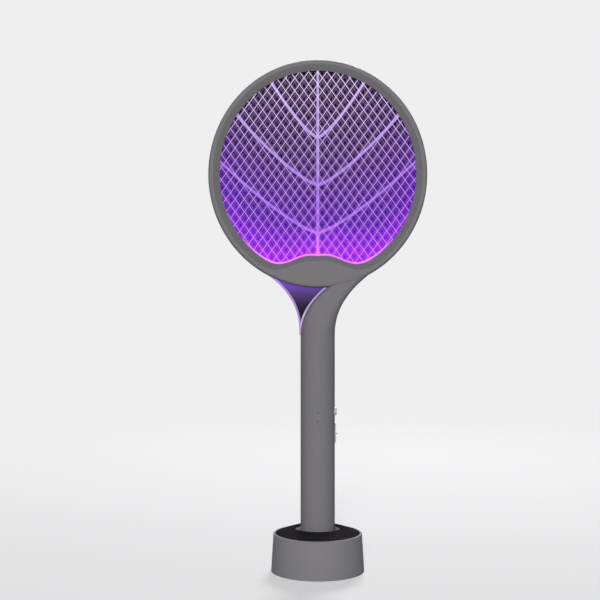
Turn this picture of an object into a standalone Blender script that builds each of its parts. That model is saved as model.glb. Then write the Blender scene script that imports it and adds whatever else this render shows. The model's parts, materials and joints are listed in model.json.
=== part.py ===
"""Electric swatter with a lit oval head, standing in its round charging stand.

Metres, +Z up. The front faces -Y, and the origin is the centre of the stand's underside.
"""

import math

import bmesh
import bpy
from mathutils import Matrix, Vector

# Clearances
FIT = 0.0003
SOCKET_CLEARANCE = 0.0004

# Head outline: the outer edge of the front land is an ellipse
HEAD_HALF_WIDTH = 0.1000
HEAD_HALF_HEIGHT = 0.1040
HEAD_HALF_DEPTH = 0.0120
HEAD_BULGE = 0.0017
FRAME_WIDTH = 0.0090
LAND_WIDTH = 0.0028
LAND_ROUND = 0.0030
DISH_DEPTH = 0.0015
FLANGE_THICKNESS = 0.0025
RING_WALL = 0.0024
HEAD_STEPS = 60

# Crescent that covers the lamps at the foot of the head
CRESCENT_RISE = 0.0186
CRESCENT_SPREAD = math.radians(20.1)
CRESCENT_POWER = 3.3
GLOW_STRIP_REACH = 0.0022
GLOW_STRIP_SPAN = math.radians(50)

# Nets
NET_THICKNESS = 0.0010
NET_HOOP_WIDTH = 0.0042
HOOP_COVER = 0.0008
STRAND_WIDTH = 0.0012
STRAND_INSET = 0.00015
GUARD_CELL_WIDTH = 0.0340
GUARD_CELL_HEIGHT = 0.0472
GRID_CELL_WIDTH = 0.0425
GRID_CELL_HEIGHT = 0.0590

# Rib frames
RIB_WIDTH = 0.0032
RIB_DEPTH = 0.0024
RIB_INSET = 0.0002
VEIN_INSET = 0.0003
VEIN_STEPS = 7
VEIN_PAIRS = 3
VEIN_FIRST_START = 0.14
VEIN_START_STEP = 0.25
VEIN_FIRST_END = math.radians(98)
VEIN_END_STEP = math.radians(27)
VEIN_BOW = 0.30

# Lamp board
LAMP_BOARD_LIFT = 0.0102
LAMP_BOARD_HALF_WIDTH = 0.0240
LAMP_SIZE = 0.0035
LAMP_HEIGHT = 0.0015
HEAD_LAMPS = 5
HEAD_LAMP_PITCH = 0.0100
WINDOW_LAMPS = 2
WINDOW_LAMP_PITCH = 0.0120
WINDOW_LAMP_CENTRE = -0.0120
BOARD_THICKNESS = 0.0016

# Neck, which bends to the right into the ring
NECK_RISE = 0.0466
NECK_DEPTH_AT_HEAD = 0.0095
NECK_DEPTH_BLEND = 0.0430
NECK_LEFT_MEETS = math.radians(5.24)
NECK_RIGHT_MEETS = math.radians(33.06)
NECK_FLARE_POWER = 2.3
NECK_SHOULDER = 0.0043
NECK_SHOULDER_HEIGHT = 0.0140
NECK_STEPS = 11

# Lamp window and the light guide round it
GUIDE_WIDTH = 0.0027
GUIDE_HALF_DEPTH = 0.0050
GUIDE_TAIL_RISE = 0.0095
GUIDE_LEFT_MEETS = math.radians(25.56)
GUIDE_FLARE_POWER = 2.6
GUIDE_STEPS = 14
WINDOW_HALF_DEPTH = 0.0015

# Handle
HANDLE_RADIUS = 0.0160
HANDLE_WALL = 0.0020
HANDLE_STEPS = 28
END_CAP_FLANGE = 0.0027
END_CAP_PLUG = 0.0040
PAD_RADIUS = 0.0030
PAD_THICKNESS = 0.0012

# Battery
BATTERY_RADIUS = 0.0092
BATTERY_LENGTH = 0.0650
BATTERY_FOOT_ROOM = 0.0040
COLLAR_HEIGHT = 0.0080
COLLAR_FROM_END = 0.0060

# Handle screws, one below the control board and one above it
SCREW_ROOM = 0.0160
SCREW_SHANK_RADIUS = 0.0012
SCREW_HEAD_RADIUS = 0.0027
SCREW_HEAD_HEIGHT = 0.0018
SCREW_REACH = 0.0080
REAR_BOSS_RADIUS = 0.0046
FRONT_BOSS_RADIUS = 0.0032
SCREW_SEAT_DEPTH = 0.0080

# Control board and what it carries, from its lower end upwards
BOARD_SETBACK = 0.0060
SLIDER_ON_BOARD = 0.0236
BUTTON_ABOVE_SLIDER = 0.0201
SWITCH_FACE_INSET = 0.0050
SWITCH_FRONT = 0.0030
TACT_LENGTH = 0.0050
TACT_HALF_HEIGHT = 0.0030
SLIDE_SWITCH_LENGTH = 0.0054
SLIDE_SWITCH_HALF_HEIGHT = 0.0065
TRANSFORMER_ABOVE_TACT = 0.0133
TRANSFORMER_WIDTH = 0.0160
TRANSFORMER_HEIGHT = 0.0160
TRANSFORMER_SIDE_ROOM = 0.0005
CAPACITOR_ABOVE_TRANSFORMER = 0.0050
CAPACITOR_WIDTH = 0.0070
CAPACITOR_DEPTH = 0.0080
CAPACITOR_HEIGHT = 0.0120
CAPACITOR_SPACING = 0.0090
BOARD_TOP_MARGIN = 0.0070
BOARD_TO_NECK = 0.0140

# Button and slider on the right side
BUTTON_HALF_WIDTH = 0.0043
BUTTON_HALF_HEIGHT = 0.0037
BUTTON_PROUD = 0.0017
BUTTON_ROUND = 0.0008
BUTTON_FLANGE = 0.0008
BUTTON_FLANGE_INSET = 0.0020
BUTTON_TRAVEL = 0.0010
SLIDER_HALF_WIDTH = 0.0032
SLIDER_HALF_HEIGHT = 0.0092
SLIDER_PROUD = 0.0011
SLIDER_RIB_PROUD = 0.0025
SLIDER_RIB_HALF_HEIGHT = 0.0012
SLIDER_STEM_HALF_WIDTH = 0.0015
SLIDER_STEM_HALF_HEIGHT = 0.0020
SLIDER_TRAVEL = 0.0030

# Indicators on the front
INDICATOR_RADIUS = 0.0009
INDICATOR_DROP = 0.0079
INDICATOR_CHIP = 0.0016
INDICATOR_CHIP_HEIGHT = 0.0008

# Leads from the control board to the head
LEAD_RADIUS = 0.00075
LEAD_PITCH = 0.0022
LEAD_START_X = 0.0083
LEAD_EXIT_X = 0.0315
LEAD_RISE = 0.0060
LEAD_STEPS = 9
NOTCH_MARGIN = 0.0010
NOTCH_HALF_DEPTH = 0.0025

# Stand
STAND_BOTTOM_RADIUS = 0.0434
STAND_TOP_RADIUS = 0.0413
STAND_HEIGHT = 0.0353
STAND_WALL = 0.0024
STAND_EDGE = 0.0007
RIM_WIDTH = 0.0020
LEDGE_DEPTH = 0.0028
LEDGE_WIDTH = 0.0017
LEDGE_THICKNESS = 0.0015
DOME_RISE = 0.0050
DOME_THICKNESS = 0.0022
STAND_STEPS = 40
FOOT_THICKNESS = 0.0010
FOOT_INNER_RADIUS = 0.0300
FOOT_OUTER_RADIUS = 0.0380
BOTTOM_PLATE = 0.0021
BALLAST_INNER_RADIUS = 0.0200
BALLAST_OUTER_RADIUS = 0.0360
BALLAST_HEIGHT = 0.0080
BALLAST_GAP_HALF_WIDTH = 0.0110
BALLAST_STEPS = 30
STAND_SCREW_RADIUS = 0.0250
STAND_SCREWS = 3
STAND_SCREW_REACH = 0.0060
STAND_SCREW_HEAD = 0.0009

# Socket sleeve
SLEEVE_WALL = 0.0017
SLEEVE_FLOOR = 0.0022
FUNNEL_WIDTH = 0.0060
FUNNEL_DEPTH = 0.0080
SLEEVE_FLANGE_WIDTH = 0.0040
SLEEVE_FLANGE_THICKNESS = 0.0018

# Charging contacts in the stand
PIN_SPACING = 0.0120
PIN_RADIUS = 0.0008
PIN_TIP = 0.0004
PIN_LENGTH = 0.0038
PIN_TRAVEL = 0.0010
BARREL_RADIUS = 0.0016
BARREL_HEIGHT = 0.0043
CONTACT_BOARD_RADIUS = 0.0150
INLET_TONGUE_HALF_WIDTH = 0.0080
INLET_WIDTH = 0.0089
INLET_HEIGHT = 0.0032
INLET_LENGTH = 0.0075
INLET_SHELL = 0.0003
INLET_MOUTH_DEPTH = 0.0060
INLET_TONGUE_WIDTH = 0.0067
INLET_TONGUE_HEIGHT = 0.0007
INLET_TONGUE_LENGTH = 0.0048
INLET_HOLE_MARGIN = 0.0004

SMALL_STEPS = 10
CUT_REACH = 0.0100
SMOOTH_ANGLE = math.radians(35)

# Heights that follow from the stack of pieces, from the floor up
PLATE_BOTTOM = FOOT_THICKNESS + FIT
PLATE_TOP = PLATE_BOTTOM + BOTTOM_PLATE
CONTACT_BOARD_BOTTOM = PLATE_TOP + FIT
CONTACT_BOARD_TOP = CONTACT_BOARD_BOTTOM + BOARD_THICKNESS
BARREL_BOTTOM = CONTACT_BOARD_TOP + FIT
BARREL_TOP = BARREL_BOTTOM + BARREL_HEIGHT
SLEEVE_BOTTOM = BARREL_TOP + FIT
SOCKET_FLOOR = SLEEVE_BOTTOM + SLEEVE_FLOOR
MOUTH_HEIGHT = STAND_HEIGHT + DOME_RISE
HANDLE_BOTTOM = SOCKET_FLOOR + FIT
SHELL_BOTTOM = HANDLE_BOTTOM + END_CAP_FLANGE + FIT
END_CAP_TOP = SHELL_BOTTOM + END_CAP_PLUG
BATTERY_BOTTOM = END_CAP_TOP + BATTERY_FOOT_ROOM
BATTERY_TOP = BATTERY_BOTTOM + BATTERY_LENGTH
BOARD_BOTTOM = BATTERY_TOP + SCREW_ROOM
SLIDER_HEIGHT = BOARD_BOTTOM + SLIDER_ON_BOARD
BUTTON_HEIGHT = SLIDER_HEIGHT + BUTTON_ABOVE_SLIDER
TRANSFORMER_BOTTOM = BUTTON_HEIGHT + TACT_HALF_HEIGHT + TRANSFORMER_ABOVE_TACT
CAPACITOR_BOTTOM = TRANSFORMER_BOTTOM + TRANSFORMER_HEIGHT + CAPACITOR_ABOVE_TRANSFORMER
BOARD_TOP = CAPACITOR_BOTTOM + CAPACITOR_HEIGHT + BOARD_TOP_MARGIN
NECK_START = BOARD_TOP + BOARD_TO_NECK
HEAD_CENTRE = NECK_START + NECK_RISE + HEAD_HALF_HEIGHT

# Radii and depths that follow
CAVITY_RADIUS = HANDLE_RADIUS - HANDLE_WALL
SOCKET_RADIUS = HANDLE_RADIUS + SOCKET_CLEARANCE
MOUTH_RADIUS = SOCKET_RADIUS + FUNNEL_WIDTH
BOARD_FRONT = BOARD_SETBACK
BOARD_BACK = BOARD_SETBACK + BOARD_THICKNESS
SWITCH_FACE = CAVITY_RADIUS - SWITCH_FACE_INSET
FLANGE_BACK = HEAD_HALF_DEPTH - FLANGE_THICKNESS
GUARD_OUTER = FLANGE_BACK - FIT
GUARD_INNER = GUARD_OUTER - NET_THICKNESS
RIB_FRAME_OUTER = GUARD_INNER - FIT
RIB_FRAME_INNER = NET_THICKNESS / 2 + FIT
RING_OUTSIDE = HEAD_BULGE + FIT
FRONT = -1
REAR = 1

FINISHES = {
    "grey_plastic": ((0.18, 0.175, 0.18), 0.45, 0.0),
    "dark_plastic": ((0.03, 0.03, 0.033), 0.5, 0.0),
    "pale_plastic": ((0.66, 0.65, 0.67), 0.3, 0.0),
    "lilac_plastic": ((0.55, 0.42, 0.75), 0.45, 0.0),
    "violet_window": ((0.22, 0.08, 0.55), 0.3, 0.0),
    "light_guide": ((0.72, 0.55, 0.92), 0.3, 0.0),
    "net_steel": ((0.62, 0.55, 0.72), 0.35, 1.0),
    "circuit_board": ((0.02, 0.16, 0.07), 0.5, 0.0),
    "lamp_lens": ((0.6, 0.4, 1.0), 0.2, 0.0),
    "brass": ((0.8, 0.6, 0.25), 0.3, 1.0),
    "steel": ((0.55, 0.55, 0.56), 0.35, 1.0),
    "rubber": ((0.02, 0.02, 0.02), 0.8, 0.0),
    "battery_wrap": ((0.05, 0.18, 0.5), 0.4, 0.0),
    "foam": ((0.06, 0.06, 0.06), 0.9, 0.0),
    "lead_red": ((0.5, 0.03, 0.03), 0.45, 0.0),
    "lead_black": ((0.02, 0.02, 0.02), 0.45, 0.0),
    "component": ((0.05, 0.05, 0.055), 0.5, 0.0),
}


def material(finish):
    """The named finish as a Principled material, made once."""
    found = bpy.data.materials.get(finish)
    if found:
        return found
    colour, roughness, metallic = FINISHES[finish]
    made = bpy.data.materials.new(finish)
    made.use_nodes = True
    shader = made.node_tree.nodes["Principled BSDF"]
    shader.inputs["Base Color"].default_value = (*colour, 1.0)
    shader.inputs["Roughness"].default_value = roughness
    shader.inputs["Metallic"].default_value = metallic
    return made


def add_object(name, points, faces, finish):
    """One closed mesh object with its faces pointing out."""
    mesh = bpy.data.meshes.new(name)
    mesh.from_pydata(points, [], faces)
    builder = bmesh.new()
    builder.from_mesh(mesh)
    bmesh.ops.recalc_face_normals(builder, faces=builder.faces)
    builder.to_mesh(mesh)
    builder.free()
    mesh.shade_smooth()
    mesh.set_sharp_from_angle(angle=SMOOTH_ANGLE)
    mesh.materials.append(material(finish))
    obj = bpy.data.objects.new(name, mesh)
    bpy.context.scene.collection.objects.link(obj)
    return obj


def skin(name, loops, finish, ring=False):
    """Closed loops of equal length joined in order, with the ends capped or, for a ring, joined."""
    count = len(loops[0])
    points = [point for loop in loops for point in loop]
    faces = []
    spans = len(loops) if ring else len(loops) - 1
    for span in range(spans):
        first = span * count
        second = (span + 1) % len(loops) * count
        for step in range(count):
            after = (step + 1) % count
            faces.append((first + step, first + after, second + after, second + step))
    if not ring:
        last = (len(loops) - 1) * count
        faces.append(tuple(range(count)))
        faces.append(tuple(range(last, last + count)))
    return add_object(name, points, faces, finish)


def circle(radius, height, steps):
    """Points of a level circle about the Z axis."""
    turns = [math.tau * step / steps for step in range(steps)]
    return [(radius * math.cos(turn), radius * math.sin(turn), height) for turn in turns]


def turned_solid(name, profile, steps, finish):
    """A solid turned about Z from (radius, height) points, with a flat disc at each end."""
    return skin(name, [circle(radius, height, steps) for radius, height in profile], finish)


def turned_ring(name, profile, steps, finish):
    """A ring turned about Z from a closed outline of (radius, height) points."""
    loops = []
    for step in range(steps):
        turn = math.tau * step / steps
        loops.append([(r * math.cos(turn), r * math.sin(turn), z) for r, z in profile])
    return skin(name, loops, finish, ring=True)


def place(obj, location, axis="Z"):
    """Turns a mesh that was made about Z to the given axis and moves it to its place."""
    turns = {
        "X": Matrix.Rotation(math.radians(90), 4, "Y"),
        "Y": Matrix.Rotation(math.radians(-90), 4, "X"),
        "Z": Matrix.Identity(4),
    }
    obj.data.transform(Matrix.Translation(location) @ turns[axis])
    return obj


def block(name, low, high, finish):
    """A box between two corners."""
    outline = [(low[0], low[1]), (high[0], low[1]), (high[0], high[1]), (low[0], high[1])]
    loops = [[(x, y, z) for x, y in outline] for z in (low[2], high[2])]
    return skin(name, loops, finish)


def plate(name, outline, low, high, finish):
    """An outline of (x, z) points extruded along Y."""
    return skin(name, [[(x, y, z) for x, z in outline] for y in (low, high)], finish)


def combine(target, tool, operation):
    """Adds a Boolean to the target and turns the tool into a helper that isn't a piece."""
    modifier = target.modifiers.new(tool.name, "BOOLEAN")
    modifier.operation = operation
    modifier.solver = "EXACT"
    modifier.object = tool
    tool.hide_render = True
    tool.display_type = "WIRE"


def set_origin(obj, point):
    """Puts the object's origin at a point without moving its mesh."""
    obj.data.transform(Matrix.Translation(-Vector(point)))
    obj.location = point


def smooth_step(value):
    """0 to 1 with flat ends."""
    value = min(max(value, 0.0), 1.0)
    return value * value * (3 - 2 * value)


# Head geometry


def head_point(turn, reach, y):
    """A point at this distance outside the head's land ellipse. Turn 0 is straight down."""
    x = (HEAD_HALF_WIDTH + reach) * math.sin(turn)
    z = HEAD_CENTRE - (HEAD_HALF_HEIGHT + reach) * math.cos(turn)
    return (x, y, z)


def opening_reach(turn):
    """Reach of the opening's edge, which the crescent lifts in a wave near the foot."""
    wave = math.exp(-((abs(turn) / CRESCENT_SPREAD) ** CRESCENT_POWER))
    return -FRAME_WIDTH - CRESCENT_RISE * wave


def head_turns():
    """Even turns round the head, from straight up and back to it."""
    return [math.tau * step / HEAD_STEPS - math.pi for step in range(HEAD_STEPS)]


def head_ring(name, section, finish):
    """A ring round the head from a section, a function of the turn that gives (reach, y) points."""
    loops = []
    for turn in head_turns():
        loops.append([head_point(turn, reach, y) for reach, y in section(turn)])
    return skin(name, loops, finish, ring=True)


def hoop(name, inner, outer, low, high, finish):
    """A flat-sided hoop that follows the opening, between two reaches beyond its edge."""

    def section(turn):
        edge = opening_reach(turn)
        return [(edge + inner, low), (edge + outer, low), (edge + outer, high), (edge + inner, high)]

    return head_ring(name, section, finish)


def opening_outline(beyond):
    """(x, z) points of the opening's edge moved outwards."""
    points = [head_point(turn, opening_reach(turn) + beyond, 0) for turn in head_turns()]
    return [(x, z) for x, _, z in points]


def ring_half(name, side):
    """One half of the split ring: outer wall, rounded land and the flange that holds the nets."""
    dish_width = FRAME_WIDTH - LAND_WIDTH - FIT

    def section(turn):
        edge = opening_reach(turn)
        inside = HEAD_BULGE - RING_WALL
        outline = [
            (edge, HEAD_HALF_DEPTH - DISH_DEPTH),
            (edge + dish_width, HEAD_HALF_DEPTH - FIT / 3),
            (-LAND_WIDTH, HEAD_HALF_DEPTH),
            (-LAND_WIDTH / 3, HEAD_HALF_DEPTH - LAND_ROUND / 16),
            (HEAD_BULGE / 4, HEAD_HALF_DEPTH - LAND_ROUND / 4),
            (HEAD_BULGE * 3 / 4, HEAD_HALF_DEPTH - LAND_ROUND),
            (HEAD_BULGE, HEAD_HALF_DEPTH - LAND_ROUND * 2),
            (HEAD_BULGE, FIT / 2),
            (inside, FIT / 2),
            (inside, FLANGE_BACK),
            (edge, FLANGE_BACK),
        ]
        return [(reach, side * depth) for reach, depth in outline]

    return head_ring(name, section, "grey_plastic")


def lattice(name, cell_width, cell_height, low, high):
    """A flat net of diamond cells about the head's centre, wider than the opening."""
    spacing = cell_width * cell_height / math.hypot(cell_width, cell_height)
    half = STRAND_WIDTH / 2 / spacing
    reach = math.hypot(HEAD_HALF_WIDTH / cell_width, HEAD_HALF_HEIGHT / cell_height)
    most = math.ceil(reach)
    lines = [line + sign * half for line in range(-most, most + 1) for sign in (-1, 1)]
    count = len(lines)
    points = []
    for y in (low, high):
        for u in lines:
            for v in lines:
                x = (u + v) * cell_width / 2
                points.append((x, y, HEAD_CENTRE + (u - v) * cell_height / 2))

    def solid(a, b):
        inside = 0 <= a < count - 1 and 0 <= b < count - 1
        return inside and (a % 2 == 0 or b % 2 == 0)

    faces = []
    layer = count * count
    for a in range(count - 1):
        for b in range(count - 1):
            if not solid(a, b):
                continue
            corners = [a * count + b, (a + 1) * count + b, (a + 1) * count + b + 1, a * count + b + 1]
            faces.append(tuple(corners))
            faces.append(tuple(layer + corner for corner in corners))
            beside = [(a, b - 1), (a + 1, b), (a, b + 1), (a - 1, b)]
            for side, neighbour in enumerate(beside):
                if not solid(*neighbour):
                    first = corners[side]
                    second = corners[(side + 1) % 4]
                    faces.append((first, second, layer + second, layer + first))
    return add_object(name, points, faces, "net_steel")


def net(name, cell_width, cell_height, low, high):
    """A hoop with a diamond lattice across it."""
    made = hoop(name, HOOP_COVER, HOOP_COVER + NET_HOOP_WIDTH, low, high, "net_steel")
    strands = lattice(name + "_strands", cell_width, cell_height, low + STRAND_INSET, high - STRAND_INSET)
    outline = opening_outline(HOOP_COVER + NET_HOOP_WIDTH / 2)
    trim = plate(name + "_trim", outline, low - CUT_REACH, high + CUT_REACH, "net_steel")
    combine(strands, trim, "INTERSECT")
    combine(made, strands, "UNION")
    return made


def bar(name, path, width, low, high, finish):
    """A flat bar of even width along (x, z) points."""
    left = []
    right = []
    for index, (x, z) in enumerate(path):
        before = path[max(index - 1, 0)]
        after = path[min(index + 1, len(path) - 1)]
        along = Vector((after[0] - before[0], after[1] - before[1])).normalized()
        left.append((x - along.y * width / 2, z + along.x * width / 2))
        right.append((x + along.y * width / 2, z - along.x * width / 2))
    loops = []
    for (lx, lz), (rx, rz) in zip(left, right):
        loops.append([(lx, low, lz), (rx, low, rz), (rx, high, rz), (lx, high, lz)])
    return skin(name, loops, finish)


def rib_frame(name, side):
    """The insulating frame between two nets: a hoop, an upright stem and pairs of curved veins."""
    depths = sorted((side * RIB_FRAME_INNER, side * RIB_FRAME_OUTER))
    frame = hoop(name, HOOP_COVER, HOOP_COVER + NET_HOOP_WIDTH, *depths, "lilac_plastic")
    into_hoop = HOOP_COVER + NET_HOOP_WIDTH / 2
    foot = head_point(0, opening_reach(0) + into_hoop, 0)
    top = head_point(math.pi, opening_reach(math.pi) + into_hoop, 0)
    outer = RIB_FRAME_OUTER - RIB_INSET
    inner = outer - RIB_DEPTH
    depths = sorted((side * inner, side * outer))
    stem = bar(name + "_stem", [(0, foot[2]), (0, top[2])], RIB_WIDTH, *depths, "lilac_plastic")
    combine(frame, stem, "UNION")
    depths = sorted((side * (inner + VEIN_INSET), side * (outer - VEIN_INSET)))
    for pair in range(VEIN_PAIRS):
        start = foot[2] + (top[2] - foot[2]) * (VEIN_FIRST_START + pair * VEIN_START_STEP)
        turn = VEIN_FIRST_END + pair * VEIN_END_STEP
        end = head_point(turn, opening_reach(turn) + into_hoop, 0)
        for hand in (-1, 1):
            path = []
            for step in range(VEIN_STEPS + 1):
                share = step / VEIN_STEPS
                x = hand * (RIB_WIDTH / 4 + (end[0] - RIB_WIDTH / 4) * share)
                z = start + (end[2] - start) * share ** (1 + VEIN_BOW)
                path.append((x, z))
            vein = bar(f"{name}_vein_{pair}_{hand}", path, RIB_WIDTH, *depths, "lilac_plastic")
            combine(frame, vein, "UNION")
    return frame


def glow_strip(name, side):
    """The lit strip along the wave edge of the crescent."""
    loops = []
    low = side * FLANGE_BACK
    high = side * (HEAD_HALF_DEPTH - DISH_DEPTH)
    for turn in head_turns():
        if abs(turn) > GLOW_STRIP_SPAN:
            continue
        outer = opening_reach(turn) - FIT
        inner = outer - GLOW_STRIP_REACH
        section = [(inner, low), (outer, low), (outer, high), (inner, high)]
        loops.append([head_point(turn, reach, y) for reach, y in section])
    return skin(name, loops, "light_guide")


def lamp(name, x, low):
    """One square lamp on the lamp board."""
    half = LAMP_SIZE / 2
    return block(name, (x - half, -half, low), (x + half, half, low + LAMP_HEIGHT), "lamp_lens")


def lamp_board():
    """The board across the crescent, with lamps facing up into the head and down into the window."""
    low = HEAD_CENTRE - HEAD_HALF_HEIGHT - HEAD_BULGE + RING_WALL + LAMP_BOARD_LIFT
    half_depth = FLANGE_BACK - FIT
    corner = (LAMP_BOARD_HALF_WIDTH, half_depth, low + BOARD_THICKNESS)
    pieces = [block("lamp_board", (-corner[0], -half_depth, low), corner, "circuit_board")]
    for index in range(HEAD_LAMPS):
        x = (index - (HEAD_LAMPS - 1) / 2) * HEAD_LAMP_PITCH
        pieces.append(lamp(f"head_lamp_{index + 1}", x, corner[2] + FIT))
    for index in range(WINDOW_LAMPS):
        x = WINDOW_LAMP_CENTRE + (index - (WINDOW_LAMPS - 1) / 2) * WINDOW_LAMP_PITCH
        pieces.append(lamp(f"window_lamp_{index + 1}", x, low - FIT - LAMP_HEIGHT))
    return pieces


# Neck and handle


def ring_edge_x(z):
    """Half width of the head's outside at this height, or 0 below it."""
    share = (HEAD_CENTRE - z) / (HEAD_HALF_HEIGHT + HEAD_BULGE)
    return (HEAD_HALF_WIDTH + HEAD_BULGE) * math.sqrt(max(1 - share * share, 0))


def neck_left(z):
    """Left edge of the solid neck, which bends to the right and meets the head near its foot."""
    meet_x, _, meet_z = head_point(NECK_LEFT_MEETS, RING_OUTSIDE, 0)
    climb = max(z - NECK_START, 0) / (meet_z - NECK_START)
    return -HANDLE_RADIUS + (meet_x + HANDLE_RADIUS) * climb**2


def neck_flare_end():
    """Height at which the neck's right edge has flared to a shoulder beside the ring."""
    _, _, meet_z = head_point(NECK_RIGHT_MEETS, HEAD_BULGE, 0)
    return meet_z


def neck_right(z):
    """Right edge of the neck, which flares to a shoulder and then runs into the ring's outside."""
    flare_end = neck_flare_end()
    climb = max(z - NECK_START, 0) / (flare_end - NECK_START)
    flare_reach = ring_edge_x(flare_end) + NECK_SHOULDER - HANDLE_RADIUS
    free = HANDLE_RADIUS + flare_reach * climb**NECK_FLARE_POWER
    past = max(z - flare_end, 0) / NECK_SHOULDER_HEIGHT
    if past > 0:
        return min(free, ring_edge_x(z) + NECK_SHOULDER * (1 - past))
    return free


def neck_half_depth(z):
    """Half depth of the neck, which thins towards the head."""
    share = smooth_step((z - NECK_START) / NECK_DEPTH_BLEND)
    return HANDLE_RADIUS + (NECK_DEPTH_AT_HEAD - HANDLE_RADIUS) * share


def shell_heights():
    """Heights of the sections from the handle's end to the tip of the neck."""
    tip = neck_flare_end() + NECK_SHOULDER_HEIGHT * 6 / 7
    heights = [SHELL_BOTTOM]
    for step in range(NECK_STEPS + 1):
        heights.append(NECK_START + (tip - NECK_START) * step / NECK_STEPS)
    return heights


def half_shell(name, side):
    """One lengthwise half of the hollow handle and neck."""
    half_steps = HANDLE_STEPS // 2
    loops = []
    for z in shell_heights():
        middle = (neck_left(z) + neck_right(z)) / 2
        half_width = (neck_right(z) - neck_left(z)) / 2
        half_depth = neck_half_depth(z)
        loop = []
        for wall in (0, HANDLE_WALL):
            arc = []
            for step in range(half_steps + 1):
                turn = math.pi * step / half_steps
                depth = max((half_depth - wall) * math.sin(turn), FIT / 2)
                arc.append((middle + (half_width - wall) * math.cos(turn), side * depth, z))
            loop += arc if wall == 0 else arc[::-1]
        loops.append(loop)
    return skin(name, loops, "grey_plastic")


def head_clearance(name):
    """A cutter with the outline of the head's outside, so that the neck meets the ring."""
    outline = []
    for turn in head_turns():
        x, _, z = head_point(turn, RING_OUTSIDE, 0)
        outline.append((x, z))
    return plate(name, outline, -HANDLE_RADIUS - CUT_REACH, HANDLE_RADIUS + CUT_REACH, "grey_plastic")


def button_hole(name):
    """A cutter for the button's hole in the right side."""
    loops = []
    for x in (SWITCH_FACE, HANDLE_RADIUS + CUT_REACH):
        loops.append(oval(x, BUTTON_HALF_WIDTH + FIT, BUTTON_HALF_HEIGHT + FIT))
    return skin(name, loops, "grey_plastic")


def slider_slot(name):
    """A cutter for the slot that the slider's stem moves in."""
    half_width = SLIDER_STEM_HALF_WIDTH + FIT
    half_height = SLIDER_STEM_HALF_HEIGHT + SLIDER_TRAVEL + FIT
    low = (SWITCH_FACE, -half_width, SLIDER_HEIGHT - half_height)
    high = (HANDLE_RADIUS + CUT_REACH, half_width, SLIDER_HEIGHT + half_height)
    return block(name, low, high, "grey_plastic")


def screw_heights():
    """Heights of the handle screws, below and above the control board."""
    return [(BATTERY_TOP + BOARD_BOTTOM) / 2, (BOARD_TOP + NECK_START) / 2]


def handle_shells():
    """Front and rear half of the handle, with bosses for the screws and holes for the controls."""
    front = half_shell("handle_front_shell", FRONT)
    rear = half_shell("handle_rear_shell", REAR)
    seat = HANDLE_RADIUS - SCREW_SEAT_DEPTH
    in_wall = HANDLE_RADIUS - HANDLE_WALL / 2
    for index, height in enumerate(screw_heights()):
        profile = [(FRONT_BOSS_RADIUS, -in_wall), (FRONT_BOSS_RADIUS, -FIT)]
        boss = turned_solid(f"front_boss_{index}", profile, SMALL_STEPS, "grey_plastic")
        combine(front, place(boss, (0, 0, height), "Y"), "UNION")
        hole_radius = SCREW_SHANK_RADIUS + FIT
        profile = [(hole_radius, -SCREW_REACH - FIT), (hole_radius, CUT_REACH)]
        pilot = turned_solid(f"pilot_hole_{index}", profile, SMALL_STEPS, "grey_plastic")
        combine(front, place(pilot, (0, 0, height), "Y"), "DIFFERENCE")
        profile = [(REAR_BOSS_RADIUS, FIT), (REAR_BOSS_RADIUS, in_wall)]
        boss = turned_solid(f"rear_boss_{index}", profile, SMALL_STEPS, "grey_plastic")
        combine(rear, place(boss, (0, 0, height), "Y"), "UNION")
        head_radius = SCREW_HEAD_RADIUS + FIT
        mouth = HANDLE_RADIUS + CUT_REACH
        profile = [(hole_radius, -CUT_REACH), (hole_radius, seat), (head_radius, seat), (head_radius, mouth)]
        bore = turned_solid(f"screw_bore_{index}", profile, SMALL_STEPS, "grey_plastic")
        combine(rear, place(bore, (0, 0, height), "Y"), "DIFFERENCE")
    for shell in (front, rear):
        combine(shell, head_clearance(shell.name + "_head_cut"), "DIFFERENCE")
        combine(shell, button_hole(shell.name + "_button_cut"), "DIFFERENCE")
        combine(shell, slider_slot(shell.name + "_slider_cut"), "DIFFERENCE")
    for index, height in enumerate(indicator_heights()):
        profile = [(INDICATOR_RADIUS + FIT, -HANDLE_RADIUS - CUT_REACH), (INDICATOR_RADIUS + FIT, 0)]
        hole = turned_solid(f"indicator_hole_{index}", profile, SMALL_STEPS, "grey_plastic")
        combine(front, place(hole, (0, 0, height), "Y"), "DIFFERENCE")
    return [front, rear]


def handle_screws():
    """The screws that hold the two halves together, driven in from the rear."""
    pieces = []
    seat = HANDLE_RADIUS - SCREW_SEAT_DEPTH + FIT
    for height, where in zip(screw_heights(), ("lower", "upper")):
        profile = [
            (SCREW_SHANK_RADIUS, -SCREW_REACH),
            (SCREW_SHANK_RADIUS, seat),
            (SCREW_HEAD_RADIUS, seat),
            (SCREW_HEAD_RADIUS, seat + SCREW_HEAD_HEIGHT),
        ]
        screw = turned_solid("handle_screw_" + where, profile, SMALL_STEPS, "steel")
        pieces.append(place(screw, (0, 0, height), "Y"))
    return pieces


def curve_end(edge, step_up, beyond):
    """Height at which an edge, an x for each height, runs into the head's outside moved outwards."""
    z = NECK_START
    while True:
        share = (HEAD_CENTRE - z) / (HEAD_HALF_HEIGHT + beyond)
        inside = 1 - share * share - (edge(z) / (HEAD_HALF_WIDTH + beyond)) ** 2
        if inside > 0:
            return z
        z += step_up


def guide_left(z):
    """Left edge of the light guide, which mirrors the flare of the neck."""
    meet_x, _, meet_z = head_point(-GUIDE_LEFT_MEETS, RING_OUTSIDE, 0)
    climb = max(z - NECK_START, 0) / (meet_z - NECK_START)
    return -HANDLE_RADIUS + (meet_x + HANDLE_RADIUS) * climb**GUIDE_FLARE_POWER


def guide_right(z):
    """Right edge of the light guide, against the solid neck."""
    return neck_left(z) - FIT


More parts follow.
